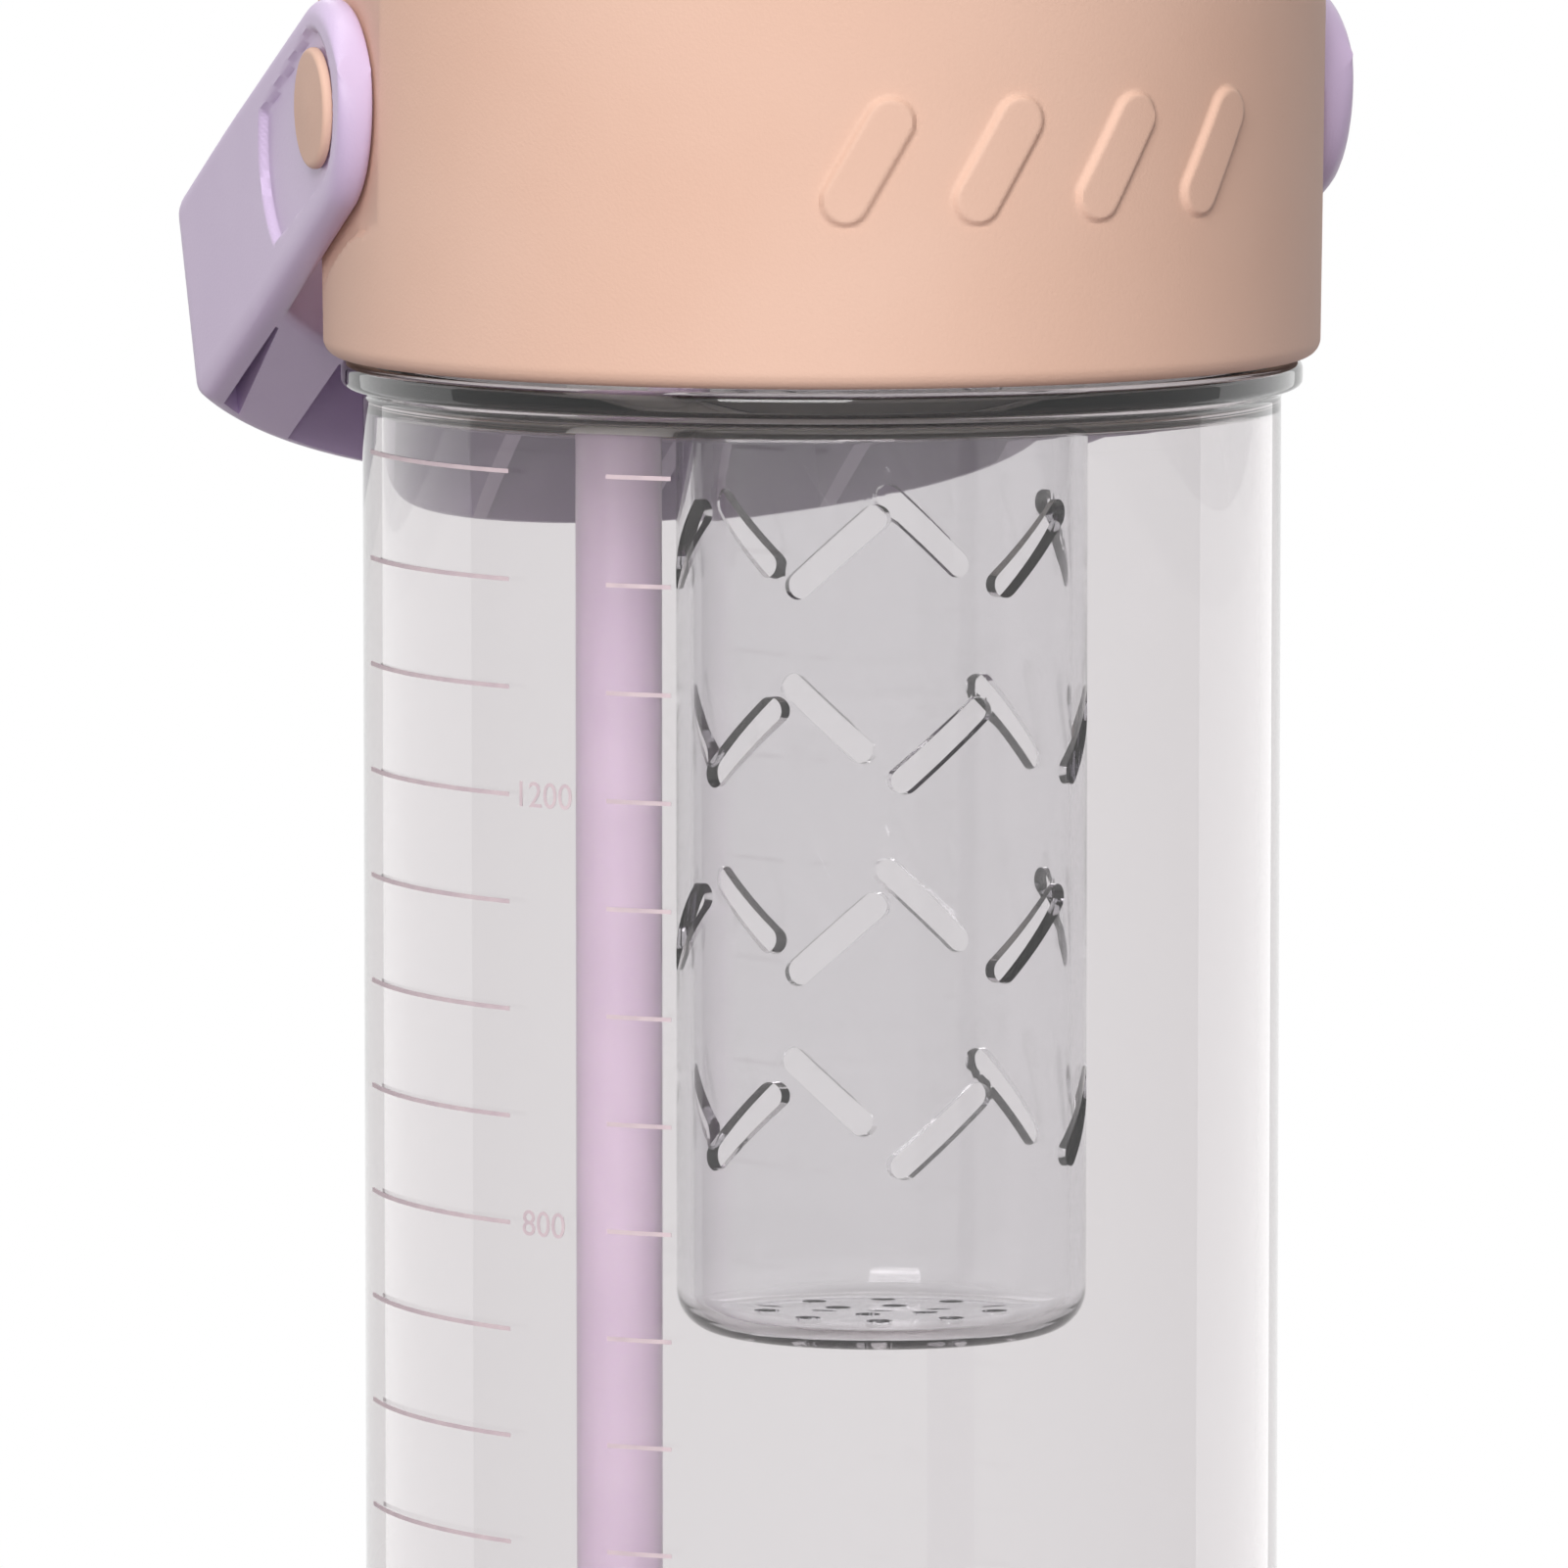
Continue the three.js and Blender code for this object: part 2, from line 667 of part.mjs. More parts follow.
const handle = new THREE.Group();
handle.position.z = pivotZ;
handle.rotation.x = -radians(handleDroop);
bottle.add(handle);
addPiece('carry_handle', carryHandle(), lavender, handle);
[['pivot_pin_right', 1], ['pivot_pin_left', -1]].forEach(([name, side]) => {
  const pin = addPiece(name, pivotPin(), peach);
  pin.rotation.y = side * Math.PI / 2;
  pin.position.z = pivotZ;
});

addPiece('infuser_basket', infuserBasket(), clear).position.x = infuserOffset;
addPiece('infuser_seal', tube(infuserRadius - infuserWall, infuserRadius + fitGap,
  infuserTop + fitGap, infuserTop + fitGap + sealHeight, cupSides), silicone).position.x = infuserOffset;

addPiece('straw', strawTube(), lavender).position.x = strawOffset;
addPiece('straw_adapter', tube(adapterRadius - adapterWall, adapterRadius,
  plateBottom - fitGap - adapterLength, plateBottom - fitGap, smallSides), silicone).position.x = strawOffset;
addPiece('straw_riser', turned([
  [stubBore, plateTop + fitGap],
  [riserFootRadius, plateTop + fitGap],
  [riserFootRadius, plateTop + fitGap + riserFootHeight, lipFillet],
  [stubBore + riserWall, plateTop + fitGap + riserFootHeight, edgeFillet],
  [stubBore + riserWall, riserTop],
  [stubBore, riserTop],
], smallSides, true), milky).position.x = strawOffset;
addPiece('riser_seal', tube(stubBore, stubBore + riserWall, riserTop + fitGap, washerTop, smallSides),
  silicone).position.x = strawOffset;

addPiece('spout_well', spoutWell(), peach);
const spout = new THREE.Group();
spout.position.set(strawOffset, 0, barrelZ);
bottle.add(spout);
addPiece('spout', spoutBody(), lavender, spout);
addPiece('spout_mouthpiece', mouthpiece(), silicone, spout);
addPiece('spout_seal', tube(stubBore, stubBore + riserWall, wellFloor + fitGap, barrelZ - barrelRadius - fitGap,
  smallSides), silicone).position.x = strawOffset;
[['spout_pin_front', 1], ['spout_pin_rear', -1]].forEach(([name, side]) => {
  const inner = wellHalfWidth - slideGap - spoutPinDepth;
  const outer = wellHalfWidth + wellWall - fitGap;
  const pin = addPiece(name, bar(spoutPinRadius, inner, outer, pinSides), steel, spout);
  pin.rotation.x = side * Math.PI / 2;
});
addPiece('vent_valve', ventValve(), silicone).position.set(ventX, mouthRadius - ventInset, 0);

export default bottle;
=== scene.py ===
import json
from math import acos, ceil, cos, pi, radians, sin, tan

import bmesh
import bpy
import numpy as np
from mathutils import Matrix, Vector


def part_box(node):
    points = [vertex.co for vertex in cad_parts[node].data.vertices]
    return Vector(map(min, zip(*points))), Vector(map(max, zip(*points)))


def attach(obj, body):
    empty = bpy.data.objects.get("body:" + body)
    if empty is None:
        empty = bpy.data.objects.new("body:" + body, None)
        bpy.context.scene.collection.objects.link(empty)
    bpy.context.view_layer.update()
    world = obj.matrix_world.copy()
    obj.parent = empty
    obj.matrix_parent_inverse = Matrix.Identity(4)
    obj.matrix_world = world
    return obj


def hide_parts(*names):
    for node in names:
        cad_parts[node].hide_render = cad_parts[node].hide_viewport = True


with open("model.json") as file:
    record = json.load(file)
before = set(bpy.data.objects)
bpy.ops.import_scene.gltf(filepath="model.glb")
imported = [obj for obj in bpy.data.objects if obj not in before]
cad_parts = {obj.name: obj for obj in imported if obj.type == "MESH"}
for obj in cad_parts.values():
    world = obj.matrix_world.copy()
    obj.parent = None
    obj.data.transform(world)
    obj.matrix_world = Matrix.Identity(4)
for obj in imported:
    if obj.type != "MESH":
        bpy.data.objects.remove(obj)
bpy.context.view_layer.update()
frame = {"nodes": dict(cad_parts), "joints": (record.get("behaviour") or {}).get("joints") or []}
mm = 0.001              # pieces are worked out in millimetres
fullTurn = 2 * pi
print("frame loaded:", len(frame["nodes"]), "solids")


# lowest and highest corner of a solid, in millimetres
def nodeBox(node):
    low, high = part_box(node)
    return np.array(low) / mm, np.array(high) / mm


# radius, centre, foot and top of a round solid
def roundBox(node):
    low, high = nodeBox(node)
    return (high[1] - low[1]) / 2, ((low[0] + high[0]) / 2, 0.0), low[2], high[2]


# a point on a joint's axis, in millimetres
def jointPlace(name):
    return np.array(next(joint["pos_m"] for joint in frame["joints"] if joint["name"] == name)) / mm


# a new object in the scene
def linked(name, data):
    thing = bpy.data.objects.new(name, data)
    bpy.context.scene.collection.objects.link(thing)
    return thing


# the photograph's view: a long lens from the left of the front, a little above the lid
photoView = {
    "imageSize": 1601,       # pixels a side
    "pixelsPerMm": 8.74,     # at the axis of the bottle
    "azimuth": -16.5,
    "elevation": 6.0,
    "distance": 1600.0,
    "axisColumn": 839.0,     # pixel column of the axis
    "rimRow": 362.0,         # pixel row of the lid's lower edge, at the side
    "sensor": 36.0,
    "clip": (0.05, 60.0),    # metres
}


def placeCamera():
    view = photoView
    turn = radians(view["azimuth"])
    rise = radians(view["elevation"])
    back = np.array([sin(turn) * cos(rise), -cos(turn) * cos(rise), sin(rise)])
    right = np.array([cos(turn), sin(turn), 0.0])
    middle = view["imageSize"] / 2
    rimZ = nodeBox("lid_shell")[0][2]
    aim = right * (middle - view["axisColumn"]) / view["pixelsPerMm"]
    aim[2] = rimZ - (middle - view["rimRow"]) / view["pixelsPerMm"] / cos(rise)
    lens = bpy.data.cameras.new("photoCamera")
    lens.sensor_width = view["sensor"]
    lens.lens = view["sensor"] * view["pixelsPerMm"] * view["distance"] / view["imageSize"]
    lens.clip_start, lens.clip_end = view["clip"]
    camera = linked("photoCamera", lens)
    camera.location = Vector((aim + back * view["distance"]) * mm)
    camera.rotation_euler = Vector(-back).to_track_quat("-Z", "Y").to_euler()
    bpy.context.scene.camera = camera


placeCamera()
bpy.context.scene.view_settings.view_transform = "Standard"
print("camera placed")


# light: a pale room, a large soft lamp beside the camera, weaker ones below it, behind and above,
# and two standing strips that only show as reflections
studio = {
    "room": ((1.0, 0.95, 0.93, 1), 0.13), "background": ((1, 1, 1, 1), 1.0),     # colour and strength
    "floorColour": (0.86, 0.855, 0.85, 1), "floorRoughness": 0.7,
    "floorBounce": (0.16, 0.13, 0.15, 1),      # what the floor throws back on to the bottle
    "floorSize": 30.0,              # metres
    "floorDrop": 0.05,              # millimetres under the foot
    "floorFade": (0.22, 0.46),      # metres from the axis, from the shaded floor to plain white
    "lamps": [                      # name, place in metres, width, height, watts, what it shows in
        ("keyLamp", (-0.9, -1.84, 1.25), 1.2, 1.2, 39.0, "all"),
        ("lowLamp", (-0.56, -1.9, 0.36), 0.5, 0.3, 7.5, "light"),
        ("rearLamp", (0.5, 1.9, 1.3), 1.0, 1.0, 7.0, "all"),
        ("topLamp", (-0.1, 0.2, 2.2), 1.2, 1.2, 17.0, "all"),
        ("leftStrip", (-0.255, 0.224, 0.325), 0.28, 0.64, 0.5, "gloss"),
        ("rightStrip", (0.322, 0.108, 0.325), 0.28, 0.64, 0.5, "gloss"),
    ],
    "lampAim": (0.0, 0.0, 0.17),
}


# sets a node's inputs: a socket is linked, anything else is a plain value
def feed(tree, node, inputs):
    for name, value in inputs.items():
        if isinstance(value, bpy.types.NodeSocket):
            tree.links.new(value, node.inputs[name])
        else:
            node.inputs[name].default_value = value


# a new shader node with its settings and inputs
def addNode(tree, kind, inputs=None, **settings):
    node = tree.nodes.new("ShaderNode" + kind)
    for name, value in settings.items():
        setattr(node, name, value)
    feed(tree, node, inputs or {})
    return node


# a new material with its node tree and its main shader
def newFinish(name):
    finish = bpy.data.materials.new(name)
    finish.use_nodes = True
    return finish, finish.node_tree, finish.node_tree.nodes["Principled BSDF"]


# 1 for the rays that should see the plain background: camera, mirror and see-through rays
def backgroundRays(tree):
    rays = addNode(tree, "LightPath").outputs
    seen = rays["Is Camera Ray"]
    for kind in ("Is Glossy Ray", "Is Transmission Ray"):
        seen = addNode(tree, "Math", {0: seen, 1: rays[kind]}, operation="MAXIMUM").outputs[0]
    return seen


def lightStudio():
    world = bpy.data.worlds.new("paleRoom")
    bpy.context.scene.world = world
    world.use_nodes = True
    tree = world.node_tree
    tree.nodes.clear()
    room, white = (addNode(tree, "Background", {"Color": colour, "Strength": strength})
                   for colour, strength in (studio["room"], studio["background"]))
    mix = addNode(tree, "MixShader", {0: backgroundRays(tree), 1: room.outputs[0], 2: white.outputs[0]})
    addNode(tree, "OutputWorld", {"Surface": mix.outputs[0]})
    for name, place, width, height, watts, shows in studio["lamps"]:
        lamp = bpy.data.lights.new(name, "AREA")
        lamp.shape = "RECTANGLE"
        lamp.size, lamp.size_y, lamp.energy = width, height, watts
        holder = linked(name, lamp)
        holder.location = place
        toward = Vector(studio["lampAim"]) - Vector(place)
        if shows == "gloss":
            toward.z = 0        # the strips stand upright
        holder.rotation_euler = toward.to_track_quat("-Z", "Y").to_euler()
        holder.visible_camera = False
        holder.visible_transmission = shows == "all"
        holder.visible_glossy = shows != "light"
        holder.visible_diffuse = shows != "gloss"


# a pale floor that keeps the shadow near the bottle and runs out to plain white
def layFloor():
    half = studio["floorSize"] / 2
    mesh = bpy.data.meshes.new("paleFloor")
    corners = [(-half, -half, 0), (half, -half, 0), (half, half, 0), (-half, half, 0)]
    mesh.from_pydata(corners, [], [(0, 1, 2, 3)])
    floor = linked("paleFloor", mesh)
    floor.location.z = -studio["floorDrop"] * mm
    finish, tree, shader = newFinish("paleFloor")
    bounced = addNode(tree, "LightPath").outputs["Is Diffuse Ray"]
    tone = addNode(tree, "Mix", {"Factor": bounced, "A": studio["floorColour"], "B": studio["floorBounce"]},
                   data_type="RGBA")
    feed(tree, shader, {"Base Color": tone.outputs["Result"], "Roughness": studio["floorRoughness"]})
    place = addNode(tree, "TexCoord").outputs["Object"]
    reach = addNode(tree, "VectorMath", {0: place}, operation="LENGTH")
    start, end = studio["floorFade"]
    fade = addNode(tree, "MapRange", {"Value": reach.outputs["Value"], "From Min": start, "From Max": end},
                   interpolation_type="SMOOTHSTEP").outputs["Result"]
    share = addNode(tree, "Math", {0: fade, 1: backgroundRays(tree)}, operation="MULTIPLY")
    colour, strength = studio["background"]
    white = addNode(tree, "Emission", {"Color": colour, "Strength": strength})
    mix = addNode(tree, "MixShader", {0: share.outputs[0], 1: shader.outputs[0], 2: white.outputs[0]})
    feed(tree, tree.nodes["Material Output"], {"Surface": mix.outputs[0]})
    mesh.materials.append(finish)


lightStudio()
layFloor()
print("studio lit")


# finishes

# fine moulded skin: two sizes of noise tint the colour, vary the gloss and raise a grain
skinGroup = {
    "INPUT": {"Colour": "Color", "Shade": "Color", "Cloud Scale": "Float", "Grain Scale": "Float",
              "Gloss Low": "Float", "Gloss High": "Float"},
    "OUTPUT": {"Colour": "Color", "Roughness": "Float", "Grain": "Float"},
    "details": {"Cloud Scale": 3.0, "Grain Scale": 2.0},
    "cloudRange": (0.35, 0.65),     # the noise values that go from the colour to the shade
}


def mouldedSkinGroup():
    group = bpy.data.node_groups.new("mouldedSkin", "ShaderNodeTree")
    for end in ("INPUT", "OUTPUT"):
        for name, kind in skinGroup[end].items():
            group.interface.new_socket(name, in_out=end, socket_type="NodeSocket" + kind)
    given = group.nodes.new("NodeGroupInput").outputs
    place = addNode(group, "TexCoord").outputs["Object"]
    noises = [addNode(group, "TexNoise", {"Vector": place, "Scale": given[size], "Detail": detail})
              for size, detail in skinGroup["details"].items()]
    cloud, grain = (noise.outputs["Fac"] for noise in noises)
    low, high = skinGroup["cloudRange"]
    spread = addNode(group, "MapRange", {"Value": cloud, "From Min": low, "From Max": high})
    tint = addNode(group, "Mix", {"Factor": spread.outputs["Result"], "A": given["Colour"],
                                  "B": given["Shade"]}, data_type="RGBA")
    gloss = addNode(group, "MapRange", {"Value": grain, "To Min": given["Gloss Low"],
                                        "To Max": given["Gloss High"]})
    feed(group, group.nodes.new("NodeGroupOutput"), {
        "Colour": tint.outputs["Result"], "Roughness": gloss.outputs["Result"], "Grain": grain})
    return group


mouldedSkin = mouldedSkinGroup()


# the skin group with its scales of cloud and grain, and roughness from and to
def addSkin(tree, scales, gloss):
    names = ("Cloud Scale", "Grain Scale", "Gloss Low", "Gloss High")
    return addNode(tree, "Group", dict(zip(names, (*scales, *gloss))), node_tree=mouldedSkin)


# sRGB values of 0 to 255 as a linear colour with alpha
def colourOf(red, green, blue):
    share = np.array([red, green, blue]) / 255
    linear = np.where(share <= 0.04045, share / 12.92, ((share + 0.055) / 1.055) ** 2.4)
    return (*linear.tolist(), 1.0)


specular = "Specular IOR Level"
# moulded finishes: colour, shade, scales of cloud and grain, roughness from and to, the bump's strength
# and its depth in metres, and other sockets of the shader
mouldedLooks = {
    "peachPlastic": ((235, 197, 176), (231, 191, 169), (22.0, 2600.0), (0.56, 0.7), (0.12, 0.0003),
                     {specular: 0.3}),
    "lavenderPlastic": ((216, 197, 227), (210, 190, 222), (26.0, 2600.0), (0.34, 0.48), (0.1, 0.0003),
                        {specular: 0.38}),
    "lavenderTube": ((203, 183, 202), (195, 175, 195), (40.0, 1800.0), (0.25, 0.38), (0.06, 0.0002),
                     {specular: 0.5, "Subsurface Weight": 0.2, "Subsurface Radius": (0.004, 0.003, 0.005)}),
    "milkyPlastic": ((240, 236, 230), (233, 228, 222), (30.0, 2400.0), (0.35, 0.5), (0.08, 0.0002),
                     {specular: 0.45, "Subsurface Weight": 0.15, "Subsurface Radius": (0.004, 0.004, 0.003)}),
    "silicone": ((243, 240, 236), (236, 232, 228), (60.0, 1500.0), (0.5, 0.68), (0.1, 0.0002),
                 {specular: 0.35, "Subsurface Weight": 0.25, "Subsurface Radius": (0.005, 0.005, 0.004)}),
    "steelPin": ((196, 198, 202), (180, 182, 187), (300.0, 4000.0), (0.22, 0.36), (0.1, 0.0001),
                 {"Metallic": 1.0}),
    "scaleInk": ((226, 208, 212), (214, 196, 202), (400.0, 5000.0), (0.5, 0.7), (0.05, 0.0001),
                 {specular: 0.3}),
}


# a moulded plastic, rubber, metal or ink: the skin group feeds its colour, its gloss and a fine bump
def mouldedFinish(name, colour, shade, scales, gloss, bump, sockets):
    finish, tree, shader = newFinish(name)
    skin = addSkin(tree, scales, gloss)
    feed(tree, skin, {"Colour": colourOf(*colour), "Shade": colourOf(*shade)})
    strength, depth = bump
    raised = addNode(tree, "Bump", {"Height": skin.outputs["Grain"], "Strength": strength, "Distance": depth})
    feed(tree, shader, {"Base Color": skin.outputs["Colour"], "Roughness": skin.outputs["Roughness"],
                        "Normal": raised.outputs["Normal"], **sockets})
    return finish


# clear finishes: tint, most roughness, the scale, strength and depth of slow waves in the wall,
# and the colour and density that darken it with the thickness that light passes
clearLooks = {
    "clearPlastic": ((0.985, 0.985, 0.99, 1), 0.03, (14.0, 0.05, 0.004), (0.70, 0.66, 0.665, 1), 200.0),
    "clearCup": ((0.98, 0.98, 0.985, 1), 0.04, (30.0, 0.05, 0.002), (0.66, 0.65, 0.68, 1), 110.0),
}
clearShared = {"ior": 1.5, "scales": (20.0, 900.0), "waveDetail": 1.0, "shadow": (0.93, 0.93, 0.935, 1)}


# clear moulded plastic: it bends the light behind it, and lets shadow rays through
def clearFinish(name, tint, roughness, wave, depthColour, depthDensity):
    finish, tree, shader = newFinish(name)
    skin = addSkin(tree, clearShared["scales"], (0.0, roughness))
    place = addNode(tree, "TexCoord").outputs["Object"]
    scale, strength, depth = wave
    flow = addNode(tree, "TexNoise", {"Vector": place, "Scale": scale, "Detail": clearShared["waveDetail"]})
    bump = addNode(tree, "Bump", {"Strength": strength, "Distance": depth, "Height": flow.outputs["Fac"]})
    feed(tree, shader, {"Base Color": tint, "Transmission Weight": 1.0, "IOR": clearShared["ior"],
                        "Roughness": skin.outputs["Roughness"], "Normal": bump.outputs["Normal"]})
    shadowRay = addNode(tree, "LightPath").outputs["Is Shadow Ray"]
    through = addNode(tree, "BsdfTransparent", {"Color": clearShared["shadow"]})
    mix = addNode(tree, "MixShader", {0: shadowRay, 1: shader.outputs[0], 2: through.outputs[0]})
    dark = addNode(tree, "VolumeAbsorption", {"Color": depthColour, "Density": depthDensity})
    feed(tree, tree.nodes["Material Output"], {"Surface": mix.outputs[0], "Volume": dark.outputs[0]})
    return finish


finishes = {name: mouldedFinish(name, *look) for name, look in mouldedLooks.items()}
finishes.update({name: clearFinish(name, *look) for name, look in clearLooks.items()})
print("finishes made")


# mesh tools

sharpAngle = 35.0                   # degrees between faces, from where an edge stays sharp
weldGap, sliverGap = 1e-6, 1e-7     # metres between points that are one, and across a face that is none


# merges doubled points, closes poles, turns the faces outwards and smooths all but sharp edges
def tidyMesh(mesh, sharp):
    work = bmesh.new()
    work.from_mesh(mesh)
    bmesh.ops.remove_doubles(work, verts=work.verts, dist=weldGap)
    bmesh.ops.dissolve_degenerate(work, edges=work.edges, dist=sliverGap)
    if work.calc_volume(signed=True) < 0:
        bmesh.ops.reverse_faces(work, faces=work.faces)
    work.to_mesh(mesh)
    work.free()
    mesh.polygons.foreach_set("use_smooth", np.ones(len(mesh.polygons), bool))
    mesh.set_sharp_from_angle(angle=radians(sharp))
    return mesh


# the mesh of a grid of points: grid[i, j] is point j of ring i, rings close on themselves,
# and along also joins the last ring to the first
def gridMesh(grid, along=False, sharp=sharpAngle):
    rings, points = grid.shape[:2]
    index = np.arange(rings * points).reshape(rings, points)
    rows = np.vstack([index, index[:1]]) if along else index
    both = np.hstack([rows, rows[:, :1]])
    quads = np.stack([both[:-1, :-1], both[:-1, 1:], both[1:, 1:], both[1:, :-1]], -1).reshape(-1, 4)
    mesh = bpy.data.meshes.new("piece")
    mesh.from_pydata((grid.reshape(-1, 3) * mm).tolist(), [], quads.tolist())
    return tidyMesh(mesh, sharp)


# one mesh from several
def joinedMesh(meshes):
    work = bmesh.new()
    for mesh in meshes:
        work.from_mesh(mesh)
        bpy.data.meshes.remove(mesh)
    joined = bpy.data.meshes.new("piece")
    work.to_mesh(joined)
    work.free()
    joined.polygons.foreach_set("use_smooth", np.ones(len(joined.polygons), bool))
    return joined


# a new mesh of what an object looks like with its modifiers
def settledMesh(thing):
    bpy.context.view_layer.update()
    return bpy.data.meshes.new_from_object(thing.evaluated_get(bpy.context.evaluated_depsgraph_get()))


# a mesh joined with or cut by others, as a new mesh
def carvedMesh(mesh, cutters, operation, sharp=sharpAngle):
    base = linked("carved", mesh)
    helpers = [linked("cutter", cutter) for cutter in cutters]
    for helper in helpers:
        step = base.modifiers.new("carve", "BOOLEAN")
        step.object, step.operation, step.solver = helper, operation, "EXACT"
    carved = settledMesh(base)
    for thing in [base, *helpers]:
        bpy.data.objects.remove(thing)
    return tidyMesh(carved, sharp)


# a finished piece on its body, with the solids that it replaces hidden; the slot is not used
def addPiece(name, mesh, finish, body, slot, *nodes):
    mesh.name = name
    mesh.materials.clear()
    mesh.materials.append(finishes[finish])
    piece = linked(name, mesh)
    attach(piece, body)
    if nodes:
        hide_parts(*nodes)


# straight runs between corners [radius, height, fillet], with an arc for each fillet;
# the arc swings its first spoke to its last by equal angles
def roundedPath(corners, closed=False, steps=8):
    parts = []
    flat = np.array([corner[:2] for corner in corners], float)
    for place, corner in enumerate(corners):
        here = flat[place]
        fillet = corner[2] if len(corner) > 2 else 0
        atEnd = not closed and place in (0, len(corners) - 1)
        if fillet == 0 or atEnd:
            parts.append(here[None])
            continue
        back = flat[place - 1] - here
        ahead = flat[(place + 1) % len(corners)] - here
        back /= np.linalg.norm(back)
        ahead /= np.linalg.norm(ahead)
        half = acos(np.clip(back @ ahead, -1, 1)) / 2
        bisector = (back + ahead) / np.linalg.norm(back + ahead)
        centre = here + bisector * fillet / sin(half)
        first = here + back * fillet / tan(half) - centre
        last = here + ahead * fillet / tan(half) - centre
        sweep = pi - 2 * half
        share = np.linspace(0, 1, steps + 1)[:, None]
        arc = (np.sin((1 - share) * sweep) * first + np.sin(share * sweep) * last) / sin(sweep)
        parts.append(centre + arc)
    return np.vstack(parts)


# the same path with points no further apart than a step, or a finer one between two heights
def refined(path, step, fine=None, low=0.0, high=0.0):
    length = np.concatenate([[0], np.cumsum(np.linalg.norm(np.diff(path, axis=0), axis=1))])
    spots = np.concatenate([length, np.arange(0, length[-1], step)])
    if fine:
        extra = np.arange(0, length[-1], fine)
        height = np.interp(extra, length, path[:, 1])
        spots = np.concatenate([spots, extra[(height > low) & (height < high)]])
    spots = np.unique(spots.round(3))
    return np.stack([np.interp(spots, length, path[:, 0]), np.interp(spots, length, path[:, 1])], 1)


# angles spread evenly over a full turn
def evenAngles(sides):
    return np.arange(sides) * fullTurn / sides


# points at each angle round an upright axis, from a radius and a height for each
def roundAxis(radius, height, angle, centre=(0.0, 0.0)):
    across, along = centre[0] + radius * np.cos(angle), centre[1] + radius * np.sin(angle)
    return np.stack(np.broadcast_arrays(across, along, height), -1)


# a profile of [radius, height] points carried round an upright axis
def turnedGrid(profile, sides, centre=(0.0, 0.0)):
    return roundAxis(profile[:, :1], profile[:, 1:], evenAngles(sides), centre)


# the same for corners with fillets, as a grid or as a mesh
def turnedPath(corners, sides, centre=(0.0, 0.0), closed=False, steps=8):
    return turnedGrid(roundedPath(corners, closed, steps), sides, centre)


def turnedMesh(corners, sides, centre=(0.0, 0.0), ring=False, steps=8):
    return gridMesh(turnedPath(corners, sides, centre, ring, steps), ring)


# a round plug between two heights, with its edges rounded or plain
def plugGrid(radius, low, high, sides, centre=(0.0, 0.0), lowEdge=0, highEdge=0):
    return turnedPath([[0, low], [radius, low, lowEdge], [radius, high, highEdge], [0, high]], sides, centre)


# a bar with a flat outline between two heights, closed to the middle of the outline at both ends
def barGrid(outline, low, high):
    middle = np.broadcast_to(outline.mean(0), outline.shape)
    rings = ((middle, low), (outline, low), (outline, high), (middle, high))
    return np.stack([np.column_stack([flat, np.full(len(flat), level)]) for flat, level in rings])


# across and along of two half circles about a last and a first centre on the X axis
def stadium(last, first, radius, steps):
    turn = np.linspace(-90, 90, steps)
    angle = np.radians(np.concatenate([turn, turn + 180]))
    return np.repeat([last, first], steps) + radius * np.cos(angle), radius * np.sin(angle)


# the mesh of a grid laid over so that its up axis points along a level axis
def laidMesh(grid, axis, centre, along=False):
    up = np.array(axis, float)
    side = np.cross([0.0, 0.0, 1.0], up)
    side /= np.linalg.norm(side)
    other = np.cross(up, side)
    laid = grid[..., :1] * side + grid[..., 1:2] * other + grid[..., 2:] * up
    return gridMesh(laid + np.array(centre), along)


# 0 below the low edge, 1 above the high edge, smooth between
def smoothStep(low, high, value):
    share = np.clip((value - low) / (high - low), 0, 1)
    return share * share * (3 - 2 * share)


seatGap, slideGap = 0.3, 0.4                        # between pieces that rest, and pieces that move
fineEdge, smallEdge, softEdge = 0.2, 0.3, 0.5       # roundings that many pieces share
cutPast, cutThrough, cutSides = 1.0, 80.0, 48       # a cutter's reach past a wall or a piece, and its sides


# clear bottle: flat foot, straight wall, bead under the lid and a threaded neck
bottleShape = {
    "wall": 2.5, "floor": 4.0, "footFillet": 7.5, "shoulder": 219.5,
    "beadOverhang": 2.5, "beadHeight": 2.8, "beadSlope": 1.0, "beadEdge": 0.9, "shoulderEdge": 1.1,
    "neckInset": 4.3, "neckWall": 2.5, "neckFoot": 1.0, "neckHead": 0.8, "neckEdge": 0.79, "mouthEdge": 0.9,
    "innerDrop": 1.2, "innerBends": (2.2, 2.6),
    "threadStart": 3.6, "threadTurns": 1.6, "threadHalf": 1.5, "threadHeight": 0.6,
    "sides": 256, "neckStep": 0.4,
}
screwThread = {"pitch": 6.0, "fade": 0.06, "crest": 0.35}   # fade: share of the run; crest: of the half width
bottleHigh = nodeBox("bottle_body")[1]
bodyRadius = bottleHigh[0] - bottleShape["beadOverhang"]
neckTop = bottleHigh[2]


# height of a screw thread over a wall: a rounded ridge about a line that climbs one pitch a turn
def threadRidge(angle, height, shape):
    start = bottleShape["shoulder"] + shape["threadStart"]
    ridge = 0.0
    for turn in range(ceil(shape["threadTurns"])):
        turns = angle / fullTurn + turn
        off = (height - start - screwThread["pitch"] * turns) / shape["threadHalf"]
        share = turns / shape["threadTurns"]
        fade = smoothStep(0, screwThread["fade"], share) * smoothStep(1, 1 - screwThread["fade"], share)
        crest = smoothStep(1, screwThread["crest"], np.abs(off))
        ridge = np.maximum(ridge, shape["threadHeight"] * crest * fade)
    return ridge


